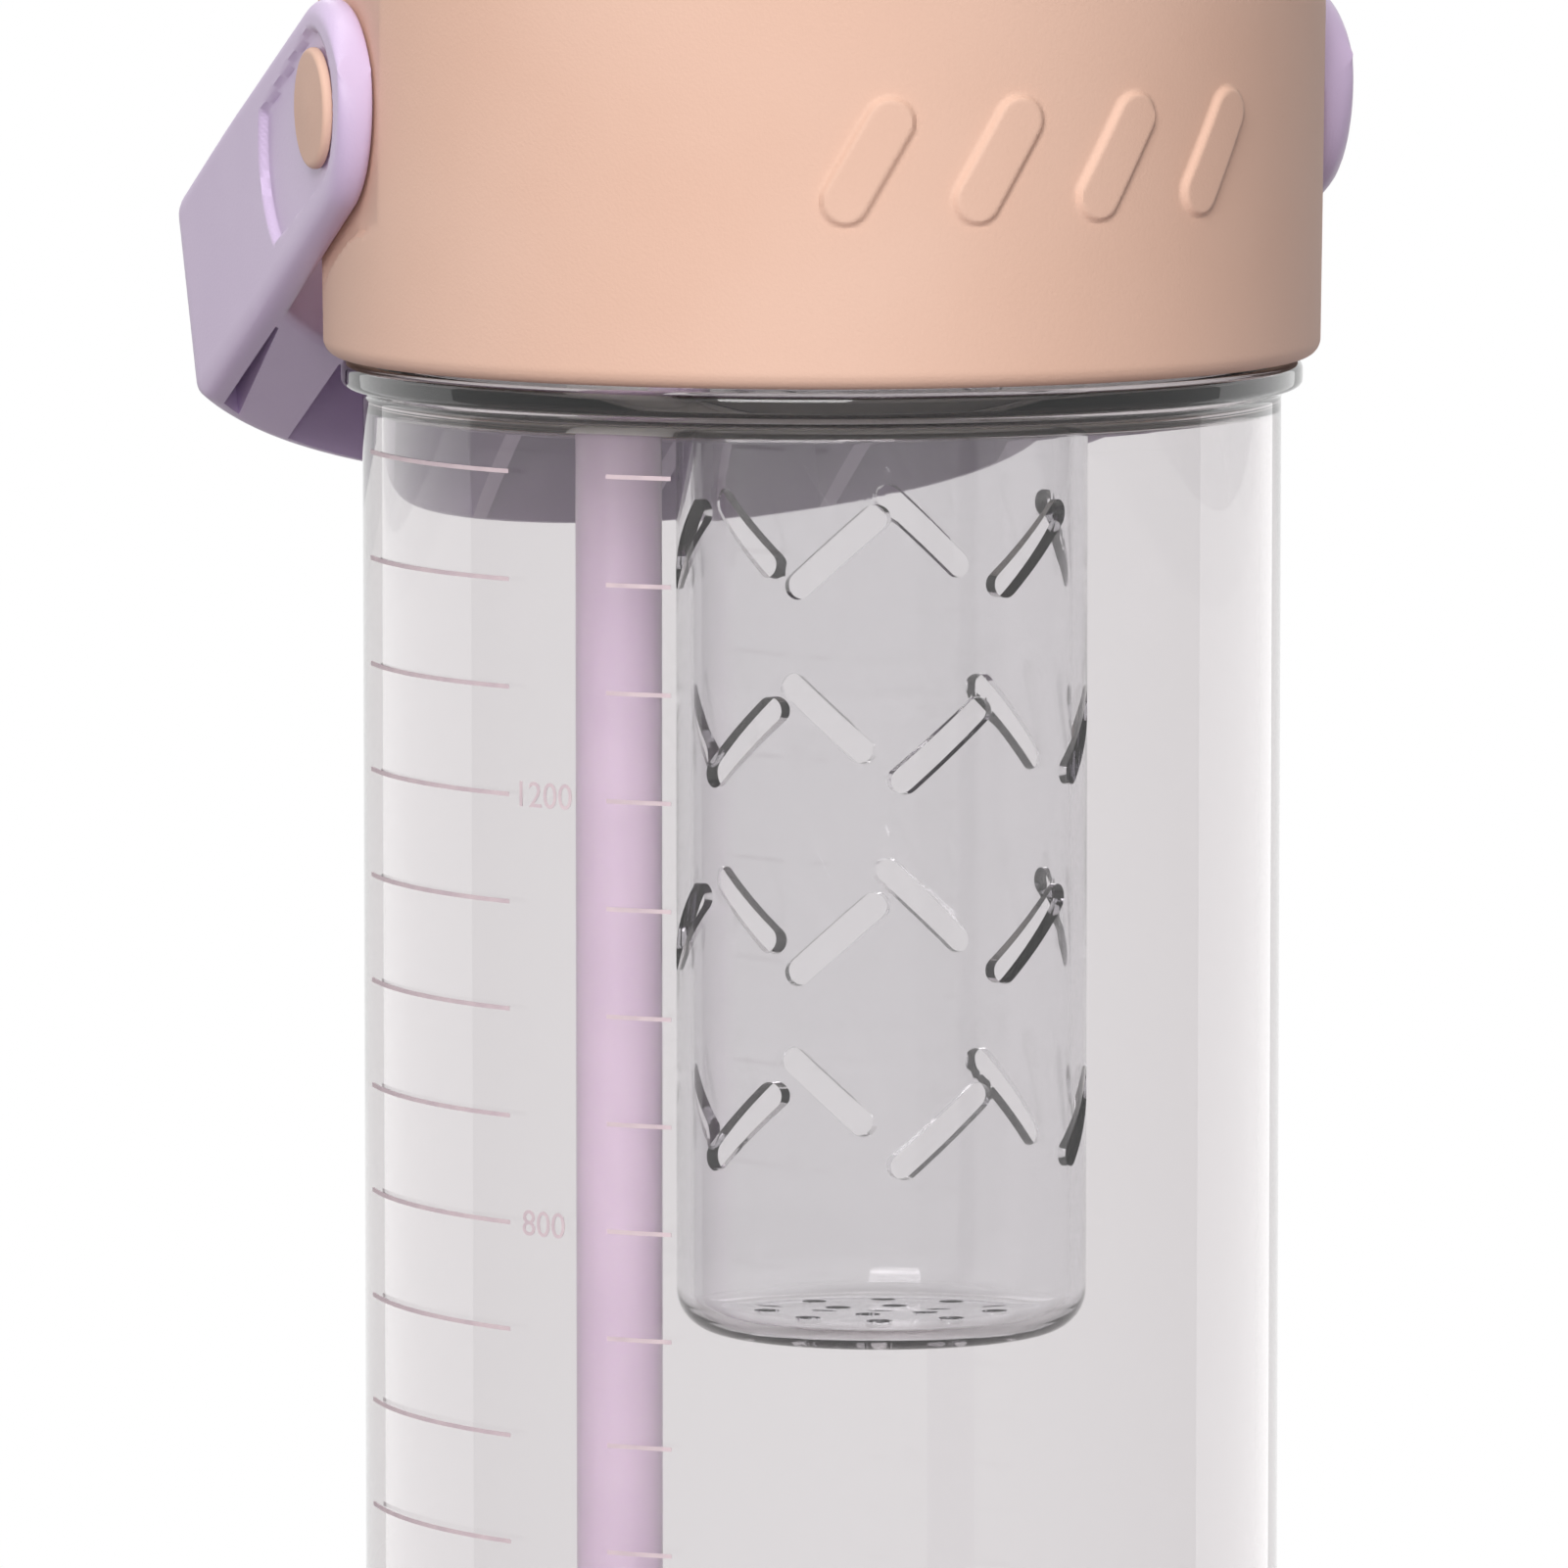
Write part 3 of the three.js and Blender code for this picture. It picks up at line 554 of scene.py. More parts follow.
# three parts of a profile carried round, with a thread on the middle one: outwards, or inwards with sign -1
def threadedGrid(before, wall, after, shape, sign):
    profile = np.vstack([before, wall, after])
    onWall = np.concatenate([np.full(len(part), part is wall) for part in (before, wall, after)])
    angle = evenAngles(shape["sides"])
    ridge = threadRidge(angle, profile[:, 1:], shape) * onWall[:, None]
    return roundAxis(profile[:, :1] + sign * ridge, profile[:, 1:], angle)


def makeBottle():
    shape = bottleShape
    shoulder = shape["shoulder"]
    beadRadius = bottleHigh[0]
    neckRadius = bodyRadius - shape["neckInset"]
    mouthRadius = neckRadius - shape["neckWall"]
    inside = bodyRadius - shape["wall"]
    beadBottom = shoulder - shape["beadHeight"]
    slopeBottom = beadBottom - shape["beadSlope"]
    neckFoot, neckHead = shoulder + shape["neckFoot"], neckTop - shape["neckHead"]
    upperBend, lowerBend = shape["innerBends"]
    below = roundedPath([
        [0, 0], [bodyRadius, 0, shape["footFillet"]], [bodyRadius, slopeBottom, shape["beadEdge"]],
        [beadRadius, beadBottom, shape["beadEdge"]], [beadRadius, shoulder, shape["shoulderEdge"]],
        [neckRadius, shoulder, softEdge], [neckRadius, neckFoot],
    ])
    neck = refined(np.array([[neckRadius, neckFoot], [neckRadius, neckHead]]), shape["neckStep"])
    above = roundedPath([
        [neckRadius, neckHead], [neckRadius, neckTop, shape["neckEdge"]],
        [mouthRadius, neckTop, shape["mouthEdge"]], [mouthRadius, beadBottom + shape["neckWall"], upperBend],
        [inside, slopeBottom - shape["innerDrop"], lowerBend],
        [inside, shape["floor"], shape["footFillet"] - shape["wall"]], [0, shape["floor"]],
    ])
    grid = threadedGrid(below[:-1], neck, above[1:], shape, 1)
    addPiece("clearBottle", gridMesh(grid), "clearPlastic", "bottle", "clear_plastic", "bottle_body")


makeBottle()
print("bottle made")


# measuring scale printed on the wall: long and short lines with plain numbers
scalePrint = {
    "longAngle": -166.0, "longWidth": 33.0,         # degrees round from +X to the middle, and millimetres
    "shortAngle": -129.5, "shortWidth": 8.0,
    "lineHeight": 0.5, "lift": 0.03, "thick": 0.06, "lineSteps": 24, "sharp": 30.0,
    "topLine": 209.5, "pitch": 12.3, "lines": 15, "firstNumber": 3, "numberEvery": 4, "lineVolume": 100,
    "letterSize": 4.2, "letterSteps": 4, "numberAngle": -143.0,
}


# a thin curved slab: angle across, height up, and two radii for its faces
def wallLine(middle, width, level):
    shape = scalePrint
    inner = bodyRadius + shape["lift"]
    outer = inner + shape["thick"]
    low, high = level - shape["lineHeight"] / 2, level + shape["lineHeight"] / 2
    half = width / 2 / bodyRadius
    across = radians(middle) + np.linspace(-half, half, shape["lineSteps"])
    corners = ((inner, low), (outer, low), (outer, high), (inner, high))
    grid = np.stack([roundAxis(radius, height, across) for radius, height in corners], 1)
    first, last = (grid[[end]].mean(1, keepdims=True).repeat(len(corners), 1) for end in (0, -1))
    return gridMesh(np.concatenate([first, grid, last]), sharp=shape["sharp"])


# a number as a thin mesh bent round the wall
def wallNumber(words, angle, height):
    shape = scalePrint
    letters = bpy.data.curves.new("number", "FONT")
    letters.body = words
    letters.size = shape["letterSize"]
    letters.align_x = letters.align_y = "CENTER"
    letters.extrude = shape["thick"] / 2
    letters.resolution_u = shape["letterSteps"]
    holder = linked("number", letters)
    mesh = settledMesh(holder)
    bpy.data.objects.remove(holder)
    flat = np.zeros(len(mesh.vertices) * 3)
    mesh.vertices.foreach_get("co", flat)
    flat = flat.reshape(-1, 3)
    radius = bodyRadius + shape["lift"] + shape["thick"] / 2 + flat[:, 2]
    bent = roundAxis(radius, height + flat[:, 1], radians(angle) + flat[:, 0] / bodyRadius)
    mesh.vertices.foreach_set("co", (bent * mm).ravel())
    return mesh


def printScale():
    shape = scalePrint
    levels = [shape["topLine"] - line * shape["pitch"] for line in range(shape["lines"])]
    marks = [wallLine(shape[kind + "Angle"], shape[kind + "Width"], level)
             for level in levels for kind in ("long", "short")]
    for line in range(shape["firstNumber"], shape["lines"], shape["numberEvery"]):
        volume = shape["lineVolume"] * (shape["lines"] - line)
        marks.append(wallNumber(str(volume), shape["numberAngle"], levels[line]))
    addPiece("scalePrint", joinedMesh(marks), "scaleInk", "bottle", "milky_plastic")


printScale()
print("scale printed")


# lid cover: drafted side, soft edges, a flat seat for each arm and raised slanted marks
lidShape = {
    "radius": 58.6, "draft": 0.6, "topFillet": 7.0, "footFillet": 2.0, "roof": 2.2, "edgeSteps": 12,
    "seatDepth": 1.8, "seatWall": 2.4, "seatRoom": 2.5, "seatSoft": 0.45,
    "innerStep": 2.0, "snapBead": 1.4, "snapHeight": 1.2,
    "markAngles": (-11.6, 3.25, 18.1, 32.95), "markLength": 15.6, "markWidth": 5.5, "markLean": 30.0,
    "markRise": 0.7, "markSoft": 0.4, "markHeight": 25.75, "markRoom": 1.0,
    "sideStep": 0.8, "markStep": 0.3,
    # degrees round from +X and the step there: close together at the marks and the seats
    "zones": ((-205, -155, 0.6), (-155, -110, 2.0), (-110, -47, 0.3), (-47, -25, 2.0), (-25, 25, 0.6),
              (25, 155, 2.0)),
    "flatInset": 6.0,
    "topShares": (0.35, 0.7, 1.0),        # rings of the flat top, from its round edge in to the well's hole
    "ceilingShares": (1.0, 0.6, 0.2),     # rings of the ceiling, from the hole back out to the bore
}
pivotZ = jointPlace("handle_swing")[2]
handleRest = {"droop": 23.5, "frontRise": 10.0, "armRadius": 12.6}   # degrees of the stops, and the round end
lidRadius = lidShape["radius"]
lidBottom, lidTop = (corner[2] for corner in nodeBox("lid_shell"))
plateTop = nodeBox("lid_liner")[1][2]
# tub for the spout, let into the lid's top
wellShape = {
    "wall": 1.8, "halfWidth": 8.7, "depth": 14.5, "lipWidth": 2.2, "lipHeight": 1.3,
    "outerLip": 0.96, "innerLip": 0.6, "floorFillet": 2.0, "endSteps": 40,
}
wellLow, wellHigh = nodeBox("spout_well")
wellOuter = wellShape["halfWidth"] + wellShape["wall"]
wellFirst = wellLow[0] + wellOuter + wellShape["lipWidth"]      # centres of the two round ends
wellLast = wellHigh[0] - wellOuter - wellShape["lipWidth"]


# distance from the axis to an outline with two round ends, along each angle
def stadiumReach(angle, radius):
    run, rise = np.cos(angle), np.sin(angle)
    end = np.where(run >= 0, wellLast, wellFirst)
    toSide = radius / np.maximum(np.abs(rise), 1e-9)
    toEnd = end * run + np.sqrt(np.maximum(radius ** 2 - (end * rise) ** 2, 0))
    return np.where(np.abs(toSide * run) <= np.abs(end), toSide, toEnd)


# how far a point lies inside the area that an arm sweeps above its two stops
def seatInside(across, up):
    reach = handleRest["armRadius"] + lidShape["seatRoom"]
    droop, front = radians(handleRest["droop"]), radians(handleRest["frontRise"])
    rear = across * sin(droop) + up * cos(droop) + reach
    fore = across * sin(front) + up * cos(front) + reach
    return np.maximum(rear, fore)


# height of the raised marks over the unrolled side: distance to a leaning line, rounded off at its edge
def markRise(angle, height):
    shape = lidShape
    lean = radians(shape["markLean"])
    half = (shape["markLength"] - shape["markWidth"]) / 2
    rise = 0.0
    for turn in shape["markAngles"]:
        across = lidRadius * (angle - radians(turn - 90))
        up = height - lidBottom - shape["markHeight"]
        along = np.clip(across * sin(lean) + up * cos(lean), -half, half)
        gap = np.hypot(across - along * sin(lean), up - along * cos(lean)) - shape["markWidth"] / 2
        rise = np.maximum(rise, shape["markRise"] * smoothStep(shape["markSoft"], -shape["markSoft"], gap))
    return rise


def makeLidCover():
    shape = lidShape
    bore = lidRadius - shape["seatDepth"] - shape["seatWall"]
    upperBore = bore - shape["innerStep"]
    snapRadius = bore - shape["snapBead"]
    ceiling = lidTop - shape["roof"]
    stepZ = plateTop + seatGap
    zones = [np.linspace(start, stop, round((stop - start) / step), endpoint=False)
             for start, stop, step in shape["zones"]]
    angle = np.radians(np.concatenate(zones))
    reach = shape["markLength"] / 2 + shape["markRoom"]
    low, high = (lidBottom + shape["markHeight"] + side * reach for side in (-1, 1))
    path = roundedPath([
        [snapRadius, lidBottom], [lidRadius - shape["draft"], lidBottom, shape["footFillet"]],
        [lidRadius, lidTop, shape["topFillet"]], [upperBore - shape["flatInset"], lidTop],
    ], steps=shape["edgeSteps"])
    outside = refined(path, shape["sideStep"], shape["markStep"], low, high)
    height = outside[:, 1:]
    radius = outside[:, :1] + markRise(angle, height)
    across, along = radius * np.cos(angle), radius * np.sin(angle)
    mask = smoothStep(-shape["seatSoft"], shape["seatSoft"], seatInside(along, height - pivotZ))
    over = np.maximum(np.abs(across) - (lidRadius - shape["seatDepth"]), 0)
    across = np.sign(across) * (np.abs(across) - mask * over)
    skin = np.stack(np.broadcast_arrays(across, along, height), -1)
    hole = stadiumReach(angle, wellOuter + seatGap)
    rims = [((1 - share) * outside[-1, 0] + share * hole, lidTop) for share in shape["topShares"]]
    rims += [((1 - share) * upperBore + share * hole, ceiling) for share in shape["ceilingShares"]]
    snap = shape["snapHeight"]
    rims += [(upperBore, ceiling), (upperBore, stepZ), (bore, stepZ), (bore, lidBottom + snap),
             (snapRadius, lidBottom + snap / 2)]
    grid = np.concatenate([skin, np.stack([roundAxis(reach, level, angle) for reach, level in rims])])
    addPiece("lidCover", gridMesh(grid, along=True), "peachPlastic", "lid", "peach_plastic", "lid_shell")


makeLidCover()
print("lid cover made")


# carry loop: two flat arms with a dished seat for the pin head, and a thick bowed grip cored from below
loopShape = {
    "armThickness": 4.0, "gripHalfWidth": 13.2, "loopRoom": 9.9, "gripDepth": 31.5,
    "innerBow": 34.5, "outerBow": 35.0,
    "pairedArm": 30.0,        # up to here the two faces of an arm run side by side
    "edgeRun": 40.0,          # over this length the edge of the arm turns into the edge of the grip
    "armEdge": 2.4, "gripEdge": 2.8, "innerEdge": 1.2,
    "coreWall": 2.6, "coreRoof": 3.0, "coreRib": 2.4,
    "cornerRib": 8.2, "cornerCell": 2.8, "cornerTip": 0.5, "cornerWall": 3.2,     # this hollow tapers inwards
    "dishDepth": 1.0, "dishRim": 3.6, "dishReach": 23.0, "dishBulge": 2.6, "dishTaper": 1.0,
    "dishSoft": 0.35,
    "holeRadius": 4.3, "sharp": 50.0,
    "eyeSteps": 36, "armStep": 0.35, "gripStep": 1.0, "cellSteps": 16,
    "innerEdgeSteps": 5, "outerEdgeSteps": 8, "sideSteps": 6, "outerSteps": 48, "innerSteps": 12,
}
armInside = lidRadius - lidShape["seatDepth"] + slideGap
armOutside = armInside + loopShape["armThickness"]


# radius and centre of a face's arc
def faceArc(half, reach, bow):
    radius = (half ** 2 + bow ** 2) / (2 * bow)
    return radius, reach - radius


# point on a straight arm that turns into an arc through the middle plane, at a length from the round end,
# and the whole length to the middle plane
def loopFace(half, reach, bow, length):
    radius, centre = faceArc(half, reach, bow)
    start = acos(half / radius)
    straight = reach - bow + handleRest["armRadius"]
    swing = start + np.maximum(length - straight, 0) / radius
    across = np.where(length < straight, half, radius * np.cos(swing))
    out = np.where(length < straight, length - handleRest["armRadius"], centre + radius * np.sin(swing))
    return np.stack([across, out], -1), straight + radius * (pi / 2 - start)


# a hollow in the underside, a wall off each arc, from a near distance on the inner and the outer line
# to a far one on both, all from the middle plane
def loopCell(innerFace, outerFace, nears, far, side):
    shape = loopShape
    lines = []
    for face, sign, near in zip((innerFace, outerFace), (1, -1), nears):
        radius, centre = faceArc(*face)
        across = np.linspace(near, far, shape["cellSteps"])
        out = centre + np.sqrt((radius + sign * shape["coreWall"]) ** 2 - across ** 2)
        lines.append(np.stack([side * across, out], -1))
    outline = np.concatenate([lines[0], lines[1][::-1]])
    return barGrid(outline, -shape["gripHalfWidth"] - cutPast, shape["gripHalfWidth"] - shape["coreRoof"])


# points of the flat loop laid down at its rest angle about the pivot axis
def drooped(loop):
    droop = radians(handleRest["droop"])
    return np.stack([loop[..., 0], loop[..., 1] * cos(droop) + loop[..., 2] * sin(droop),
                     pivotZ - loop[..., 1] * sin(droop) + loop[..., 2] * cos(droop)], -1)


def makeCarryLoop():
    shape = loopShape
    eye = handleRest["armRadius"]
    innerReach = lidRadius + shape["loopRoom"]
    innerFace = (armInside, innerReach, shape["innerBow"])
    outerFace = (armOutside, innerReach + shape["gripDepth"], shape["outerBow"])
    innerTotal, outerTotal = (loopFace(*face, 0.0)[1] for face in (innerFace, outerFace))
    paired = shape["pairedArm"] + eye
    # stations along half of the loop, from the round end of an arm to the middle plane
    roundEnd = eye * (1 - np.cos(np.linspace(0, pi / 2, shape["eyeSteps"])))
    arm = np.arange(eye + shape["armStep"], paired, shape["armStep"])
    grip = np.linspace(paired, outerTotal, round((outerTotal - paired) / shape["gripStep"]))
    outerSpot = np.concatenate([roundEnd, arm, grip])
    beyond = np.maximum(outerSpot - paired, 0) * (innerTotal - paired) / (outerTotal - paired)
    outer = loopFace(*outerFace, outerSpot)[0]
    inner = loopFace(*innerFace, np.minimum(outerSpot, paired) + beyond)[0]
    along = outerSpot[:, None] - eye
    # half width: round end, slight taper, then the grip
    taperEnd = innerReach - shape["innerBow"]
    roundHalf = np.sqrt(np.maximum(eye ** 2 - np.minimum(along, 0) ** 2, 0))
    half = roundHalf + (shape["gripHalfWidth"] - eye) * np.clip(along / taperEnd, 0, 1)
    depth = np.linalg.norm(outer - inner, axis=1)[:, None]
    inGrip = smoothStep(paired, paired + shape["edgeRun"], outerSpot)[:, None]
    outerEdge = np.minimum(shape["armEdge"] + (shape["gripEdge"] - shape["armEdge"]) * inGrip, half)
    innerEdge = np.minimum(shape["innerEdge"], half)
    # section points as [distance from the inner face, height], walked round from the top of the inner face
    columns = []

    def run(fromA, toA, fromW, toW, count):
        share = np.linspace(0, 1, count, endpoint=False)
        columns.append((fromA * (1 - share) + toA * share, fromW * (1 - share) + toW * share))

    def corner(a, w, edge, start, count):
        swing = np.radians(start - np.linspace(0, 90, count, endpoint=False))
        columns.append((a + edge * np.cos(swing), w + edge * np.sin(swing)))

    zero = np.zeros_like(depth)
    corner(innerEdge, half - innerEdge, innerEdge, 180, shape["innerEdgeSteps"])
    run(innerEdge, depth - outerEdge, half, half, shape["sideSteps"])
    corner(depth - outerEdge, half - outerEdge, outerEdge, 90, shape["outerEdgeSteps"])
    run(depth, depth, half - outerEdge, outerEdge - half, shape["outerSteps"])
    corner(depth - outerEdge, outerEdge - half, outerEdge, 0, shape["outerEdgeSteps"])
    run(depth - outerEdge, innerEdge, -half, -half, shape["sideSteps"])
    corner(innerEdge, innerEdge - half, innerEdge, 270, shape["innerEdgeSteps"])
    run(zero, zero, innerEdge - half, half - innerEdge, shape["innerSteps"])
    a, w = (np.hstack(parts) for parts in zip(*columns))
    # the dish sinks the outer face round the pin head, up to a bowed end
    dishHalf = eye - shape["dishRim"] - shape["dishTaper"] * np.clip(along / shape["dishReach"], 0, 1)
    dishEnd = shape["dishReach"] + shape["dishBulge"] * (1 - (w / dishHalf) ** 2)
    roundGap = eye - shape["dishRim"] - np.hypot(np.minimum(along, 0), w)
    inside = np.minimum(np.minimum(dishHalf - np.abs(w), dishEnd - along), roundGap)
    onFace = a > depth - 1e-6
    a = a - onFace * shape["dishDepth"] * smoothStep(-shape["dishSoft"], shape["dishSoft"], inside)
    flat = inner[:, None] + a[..., None] * ((outer - inner) / depth)[:, None]
    right = np.concatenate([flat, w[..., None]], -1)
    left = right[::-1] * np.array([-1.0, 1.0, 1.0])
    mesh = gridMesh(drooped(np.concatenate([right[:-1], left])), sharp=shape["sharp"])
    end = armOutside - shape["cornerWall"]
    pitch = (end - shape["cornerCell"] - shape["cornerRib"]) / 2
    rib = shape["coreRib"] / 2
    cells = [((rib, rib), pitch - rib), ((pitch + rib, pitch + rib), 2 * pitch),
             ((end - shape["cornerTip"], end - shape["cornerCell"]), end)]
    hollows = [gridMesh(drooped(loopCell(innerFace, outerFace, nears, far, side)))
               for nears, far in cells for side in (-1, 1)]
    drill = plugGrid(shape["holeRadius"], -cutThrough, cutThrough, cutSides)
    hollows.append(laidMesh(drill, (1, 0, 0), (0, 0, pivotZ)))
    mesh = carvedMesh(mesh, [joinedMesh(hollows)], "DIFFERENCE", shape["sharp"])
    addPiece("carryLoop", mesh, "lavenderPlastic", "handle", "lavender_plastic", "carry_handle")


makeCarryLoop()
print("carry loop made")


# headed pins that hold the arms: a shaft from the lid's seat and a softly domed head in the dish
pinShape = {
    "radius": 3.9, "footGap": 0.05, "headRadius": 7.0, "headHeight": 1.4, "underEdge": 0.25, "edge": 0.7,
    "dome": 0.25, "step": 0.8, "sides": 64,
}


def makePins():
    shape = pinShape
    foot = lidRadius - lidShape["seatDepth"] + shape["footGap"]
    head = armOutside - loopShape["dishDepth"] + seatGap
    top = head + shape["headHeight"]
    path = roundedPath([
        [0, foot], [shape["radius"], foot, smallEdge], [shape["radius"], head, fineEdge],
        [shape["headRadius"], head, shape["underEdge"]],
        [shape["headRadius"], top - shape["dome"], shape["edge"]], [0, top],
    ])
    pin = turnedGrid(refined(path, shape["step"]), shape["sides"])
    for side, name, node in ((1, "pinRight", "pivot_pin_right"), (-1, "pinLeft", "pivot_pin_left")):
        mesh = laidMesh(pin, (side, 0, 0), (0, 0, pivotZ))
        addPiece(name, mesh, "peachPlastic", "lid", "peach_plastic", node)


makePins()
print("pins made")


# infuser cup: clear, with rows of slanted slots and a drained floor
cupShape = {
    "wall": 1.8, "floor": 2.0, "fillet": 5.0, "lip": 0.7, "sides": 144, "wallStep": 6.0,
    "slotWidth": 3.2, "slotLength": 15.0, "slotLean": 42.0, "slotRoom": 2.0, "slotSteps": 13,
    "slotRows": 4, "slotsPerRow": 6, "rowPitch": 22.5, "firstRow": 26.0,
    "drainRadius": 1.5, "drainRings": ((1, 0.0), (6, 7.0), (10, 14.0)), "drainSides": 20,
}
cupRadius, cupCentre, cupFoot, cupTop = roundBox("infuser_basket")


# a grid turned about the upright axis
def spun(grid, turn):
    run, rise = cos(turn), sin(turn)
    return np.stack([grid[..., 0] * run - grid[..., 1] * rise, grid[..., 0] * rise + grid[..., 1] * run,
                     grid[..., 2]], -1)


def makeInfuserCup():
    shape = cupShape
    inside = cupRadius - shape["wall"]
    floor = cupFoot + shape["floor"]
    path = roundedPath([
        [0, cupFoot], [cupRadius, cupFoot, shape["fillet"]], [cupRadius, cupTop, shape["lip"]],
        [inside, cupTop, shape["lip"]], [inside, floor, shape["fillet"] - shape["wall"]], [0, floor],
    ])
    cup = gridMesh(turnedGrid(refined(path, shape["wallStep"]), shape["sides"], cupCentre))
    # a slot is a bar with a pill-shaped outline, leaned over and stood against the front of the wall
    half = (shape["slotLength"] - shape["slotWidth"]) / 2
    outline = np.stack(stadium(half, -half, shape["slotWidth"] / 2, shape["slotSteps"]), -1)
    bar = barGrid(outline, inside - shape["slotRoom"], cupRadius + cutPast)
    across, up, out = np.moveaxis(spun(bar, radians(shape["slotLean"])), -1, 0)
    slot = np.stack([across, -out, up], -1)
    holes = []
    for row in range(shape["slotRows"]):
        lift = cupFoot + shape["firstRow"] + row * shape["rowPitch"]
        for place in range(shape["slotsPerRow"]):
            turn = (place + (row % 2) / 2) * fullTurn / shape["slotsPerRow"]
            holes.append(gridMesh(spun(slot, turn) + np.array([*cupCentre, lift])))
    for count, radius in shape["drainRings"]:
        for turn in evenAngles(count):
            centre = (cupCentre[0] + radius * cos(turn), radius * sin(turn))
            holes.append(gridMesh(plugGrid(shape["drainRadius"], cupFoot - cutPast, floor + cutPast,
                                           shape["drainSides"], centre)))
    cup = carvedMesh(cup, [joinedMesh(holes)], "DIFFERENCE")
    addPiece("infuserCup", cup, "clearCup", "infuser", "clear_plastic", "infuser_basket")


makeInfuserCup()
print("infuser cup made")


# straw, cut at a slant at its foot, and the soft sleeve that holds it
strawShape = {"wall": 0.9, "slant": 35.0, "lip": 0.3, "sides": 64, "steps": 24}
sleeveShape = {"wall": 0.9, "footEdge": 0.45, "sides": 64}
strawRadius, strawCentre, strawFoot, strawTop = roundBox("straw")


def makeStraw():
    shape = strawShape
    angle = evenAngles(shape["sides"])
    share = np.linspace(0, 1, shape["steps"])
    rise = tan(radians(shape["slant"]))
    rings = []
    # up or down the wall, with each end ring eased into the thickness
    for radius, shares, ease in ((strawRadius - shape["wall"], share[::-1], shape["lip"]),
                                 (strawRadius, share, -shape["lip"])):
        foot = strawFoot + (strawRadius - radius * np.cos(angle)) * rise
        for part in shares:
            reach = radius + ease * (part in (0, 1))
            rings.append(roundAxis(reach, foot * (1 - part) + strawTop * part, angle, strawCentre))
    mesh = gridMesh(np.stack(rings), along=True)
    addPiece("drinkingStraw", mesh, "lavenderTube", "straw_tube", "lavender_tube", "straw")


def makeStrawSleeve():
    shape = sleeveShape
    radius, centre, foot, top = roundBox("straw_adapter")
    bore = radius - shape["wall"]
    mesh = turnedMesh([
        [bore, foot, smallEdge], [radius, foot, shape["footEdge"]],
        [radius, top, smallEdge], [bore, top, smallEdge],
    ], shape["sides"], centre, ring=True)
    addPiece("strawSleeve", mesh, "silicone", "lid", "silicone", "straw_adapter")


makeStraw()
makeStrawSleeve()
print("straw made")


# inner lid: threaded skirt, plate, a skirt for the infuser and a stub for the straw
linerShape = {
    "outside": 54.1, "inside": 50.3, "plate": 2.6, "lip": 0.6, "bevel": 0.4, "footEdge": 0.59, "sides": 200,
    "skirtRadius": 21.8, "skirtWall": 1.8, "skirtDepth": 9.5, "skirtSides": 128,
    "stubRadius": 5.0, "stubBore": 3.2, "stubLength": 10.0, "stubSides": 64,
    "ventHole": 2.3, "ventCentre": (-5.0, 36.0),
    "threadStart": 6.2, "threadTurns": 1.4, "threadHalf": 1.2, "threadHeight": 0.4,
    "wallStep": 0.5,
}
plateBottom = plateTop - linerShape["plate"]


def makeInnerLid():
    shape = linerShape
    inside, outside, lip = shape["inside"], shape["outside"], shape["lip"]
    foot = lidBottom + lidShape["snapHeight"] + seatGap
    bevel = shape["bevel"]
    below = np.array([[0.0, plateBottom], [inside - bevel, plateBottom]])
    wall = refined(np.array([[inside, plateBottom - bevel], [inside, foot + lip]]), shape["wallStep"])
    around = roundedPath([
        [inside, foot + lip], [inside, foot, shape["footEdge"]], [outside, foot, lip],
        [outside, plateTop, lip], [0, plateTop],
    ])
    plate = gridMesh(threadedGrid(below, wall, around[1:], shape, -1))
    rooted = plateBottom + shape["plate"] / 2
    skirtFoot = plateBottom - shape["skirtDepth"]
    skirtIn = shape["skirtRadius"] - shape["skirtWall"]
    skirt = turnedMesh([
        [skirtIn, skirtFoot, softEdge], [shape["skirtRadius"], skirtFoot, lip],
        [shape["skirtRadius"], rooted], [skirtIn, rooted],
    ], shape["skirtSides"], cupCentre, ring=True)
    stubFoot = plateBottom - shape["stubLength"]
    stub = plugGrid(shape["stubRadius"], stubFoot, rooted, shape["stubSides"], strawCentre, softEdge)
    lid = carvedMesh(plate, [skirt, gridMesh(stub)], "UNION")
    openings = ((shape["stubBore"], strawCentre), (shape["ventHole"], shape["ventCentre"]))
    holes = [gridMesh(plugGrid(radius, stubFoot - cutPast, plateTop + cutPast, cutSides, centre))
             for radius, centre in openings]
    lid = carvedMesh(lid, holes, "DIFFERENCE")
    addPiece("innerLid", lid, "milkyPlastic", "lid", "milky_plastic", "lid_liner")


# soft rings: a rectangle with eased corners carried round, with a shallow groove in its two flat faces
ringShape = {
    "ease": 0.45, "sides": 160, "steps": 5,
    "rings": (                # name, node, body, width of the section
        ("neckSealRing", "lid_seal", "neck_ring", 3.1),
        ("cupSealRing", "infuser_seal", "infuser_ring", 2.1),
        ("riserWasher", "riser_seal", "lid", 2.0),
        ("spoutPad", "spout_seal", "lid", 2.0),
    ),
}


def makeRings():
    shape = ringShape
    for name, node, body, width in shape["rings"]:
        outer, centre, foot, top = roundBox(node)
        inner = outer - width
        middle = (inner + outer) / 2
        ease = min(shape["ease"], (top - foot) / 3)
        dip = ease / 2          # depth of the groove
        mesh = turnedMesh([
            [inner, foot, ease], [middle, foot + dip, ease], [outer, foot, ease],
            [outer, top, ease], [middle, top - dip, ease], [inner, top, ease],
        ], shape["sides"], centre, ring=True, steps=shape["steps"])
        addPiece(name, mesh, "silicone", body, "silicone", node)


makeInnerLid()
makeRings()
print("inner lid and seals made")


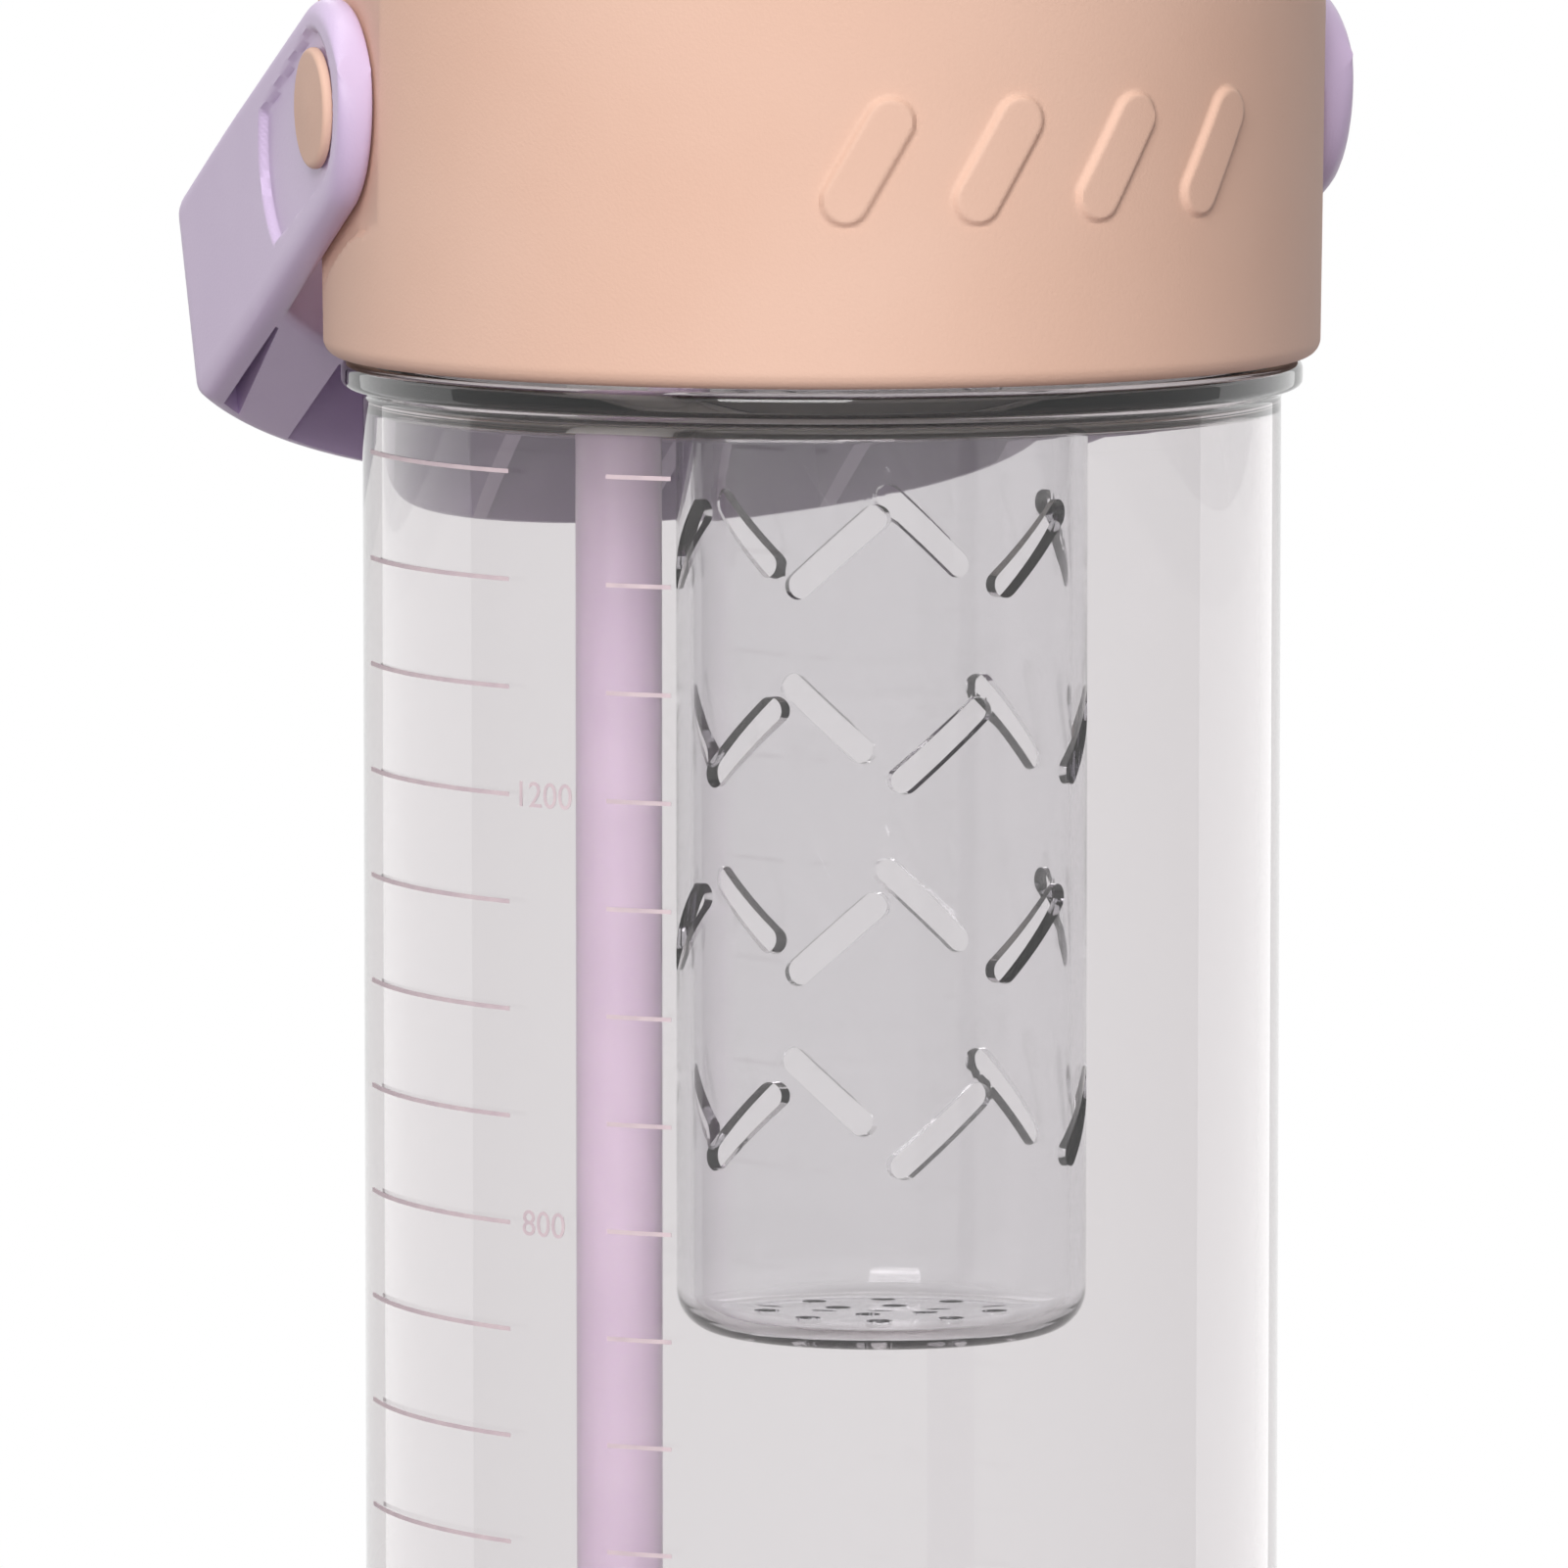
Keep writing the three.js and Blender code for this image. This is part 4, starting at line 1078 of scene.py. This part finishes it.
# pipe from the inner lid up to the spout
riserShape = {"bore": 3.2, "wall": 2.0, "flange": 1.5, "rootFillet": 0.9, "topEdge": 0.4, "sides": 64}


def makeRiser():
    shape = riserShape
    flange, centre, foot, top = roundBox("straw_riser")
    bore = shape["bore"]
    pipe = bore + shape["wall"]
    step = foot + shape["flange"]
    mesh = turnedMesh([
        [bore, foot, smallEdge], [flange, foot, smallEdge], [flange, step, softEdge],
        [pipe, step, shape["rootFillet"]], [pipe, top, shape["topEdge"]], [bore, top, smallEdge],
    ], shape["sides"], centre, ring=True)
    addPiece("riserPipe", mesh, "milkyPlastic", "lid", "milky_plastic", "straw_riser")


# vent plug: a domed head over the plate and a soft barbed tip below it
ventShape = {
    "stem": 2.0, "head": 4.2, "lip": 0.9, "height": 1.4, "rimShare": 0.6, "tipEdge": 0.4, "barbEdge": 0.1,
    "sides": 48,
}


def makeVent():
    shape = ventShape
    stem, head = shape["stem"], shape["head"]
    over = plateTop + seatGap
    barb = plateBottom - seatGap
    tip = barb - shape["height"]
    mesh = turnedMesh([
        [0, tip], [stem, tip, shape["tipEdge"]], [stem + shape["lip"], barb, fineEdge],
        [stem, barb, shape["barbEdge"]], [stem, over, fineEdge], [head, over, smallEdge],
        [head, over + shape["height"] * shape["rimShare"], shape["tipEdge"]], [0, over + shape["height"]],
    ], shape["sides"], linerShape["ventCentre"])
    addPiece("ventPlug", mesh, "silicone", "lid", "silicone", "vent_valve")


makeRiser()
makeVent()
print("riser and vent made")


# folding spout in a tub in the lid's top: a barrel with a nozzle, a soft mouthpiece and two short pins
spoutShape = {
    "barrelRadius": 6.2, "barrelEdge": 0.7, "nozzleRadius": 5.2, "shoulder": 25.0, "shoulderEdge": 0.8,
    "tipRadius": 3.9, "tipEdge": 0.6, "reach": 50.0, "bore": 2.5, "sides": 72, "boreSides": 40,
    "mouthWall": 1.2, "mouthTip": 2.4, "mouthBelly": 0.5, "mouthBow": 30.0, "mouthEdge": 1.6,
    "pinRadius": 1.5, "pinSides": 40, "pinHole": 1.8, "pinDepth": 3.6, "holeSides": 32,
}
spoutX, spoutZ = jointPlace("spout_flip")[[0, 2]]
spoutCentre = (spoutX, 0, spoutZ)


def makeSpoutTub():
    shape = wellShape
    halfWidth, lipBottom = shape["halfWidth"], lidTop + seatGap
    floor = lidTop - shape["depth"]
    under = floor - shape["wall"]
    lipTop = lipBottom + shape["lipHeight"]
    lipReach = wellOuter + shape["lipWidth"]
    path = roundedPath([
        [0, under], [wellOuter, under, shape["floorFillet"]], [wellOuter, lipBottom],
        [lipReach, lipBottom, fineEdge], [lipReach, lipTop, shape["outerLip"]],
        [halfWidth, lipTop, shape["innerLip"]], [halfWidth, floor, shape["floorFillet"]], [0, floor],
    ])
    # rings of the outline at each radius and height: half circles about the two end centres
    across, along = stadium(wellLast, wellFirst, path[:, :1], shape["endSteps"])
    tub = gridMesh(np.stack(np.broadcast_arrays(across, along, path[:, 1:]), -1))
    port = plugGrid(riserShape["bore"], under - cutPast, floor + cutPast, cutSides, strawCentre)
    pinHoles = plugGrid(spoutShape["pinHole"], -cutThrough, cutThrough, spoutShape["holeSides"])
    tub = carvedMesh(tub, [gridMesh(port), laidMesh(pinHoles, (0, 1, 0), spoutCentre)],
                     "DIFFERENCE")
    addPiece("spoutTub", tub, "peachPlastic", "lid", "peach_plastic", "spout_well")


def makeSpout():
    shape = spoutShape
    half = wellShape["halfWidth"] - slideGap
    nozzleRadius, tipRadius = shape["nozzleRadius"], shape["tipRadius"]
    shoulder, bore, reach = shape["shoulder"], shape["bore"], shape["reach"]
    edge = shape["barrelEdge"]
    barrel = plugGrid(shape["barrelRadius"], -half, half, shape["sides"], (0.0, 0.0), edge, edge)
    inTip = reach - shape["mouthTip"]
    tip = inTip - seatGap
    nozzle = turnedPath([
        [0, 0], [nozzleRadius, 0], [nozzleRadius, shoulder, shape["shoulderEdge"]],
        [tipRadius, shoulder, fineEdge], [tipRadius, tip, shape["tipEdge"]], [0, tip],
    ], shape["sides"])
    body = carvedMesh(laidMesh(barrel, (0, 1, 0), spoutCentre),
                      [laidMesh(nozzle, (1, 0, 0), spoutCentre)], "UNION")
    near = half - shape["pinDepth"] - seatGap
    boreRod = plugGrid(bore, -cutThrough, cutThrough, shape["boreSides"])
    pinRod = plugGrid(shape["pinHole"], near, half + cutPast, shape["holeSides"])
    holes = [laidMesh(rod, axis, spoutCentre)
             for rod, axis in ((boreRod, (1, 0, 0)), (pinRod, (0, -1, 0)), (pinRod, (0, 1, 0)))]
    addPiece("foldingSpout", carvedMesh(body, holes, "DIFFERENCE"), "lavenderPlastic",
             "folding_spout", "lavender_plastic", "spout")
    inner = tipRadius + seatGap
    outer = inner + shape["mouthWall"]
    start = shoulder + seatGap
    mouth = turnedPath([
        [inner, start, fineEdge], [outer, start, softEdge],
        [outer + shape["mouthBelly"], (start + reach) / 2, shape["mouthBow"]],
        [outer, reach, shape["mouthEdge"]], [bore, reach, shape["tipEdge"]],
        [bore, inTip, fineEdge], [inner, inTip, fineEdge],
    ], shape["sides"], closed=True)
    mesh = laidMesh(mouth, (1, 0, 0), spoutCentre, along=True)
    addPiece("softMouthpiece", mesh, "silicone", "folding_spout", "silicone", "spout_mouthpiece")
    pins = ((-1, "hingePinFront", "spout_pin_front"), (1, "hingePinRear", "spout_pin_rear"))
    for side, name, node in pins:
        first, last = sorted(abs(corner[1]) for corner in nodeBox(node))
        pin = plugGrid(shape["pinRadius"], first, last, shape["pinSides"], (0.0, 0.0), smallEdge, smallEdge)
        mesh = laidMesh(pin, (0, side, 0), spoutCentre)
        addPiece(name, mesh, "steelPin", "lid", "steel", node)


makeSpoutTub()
makeSpout()
print("spout made")
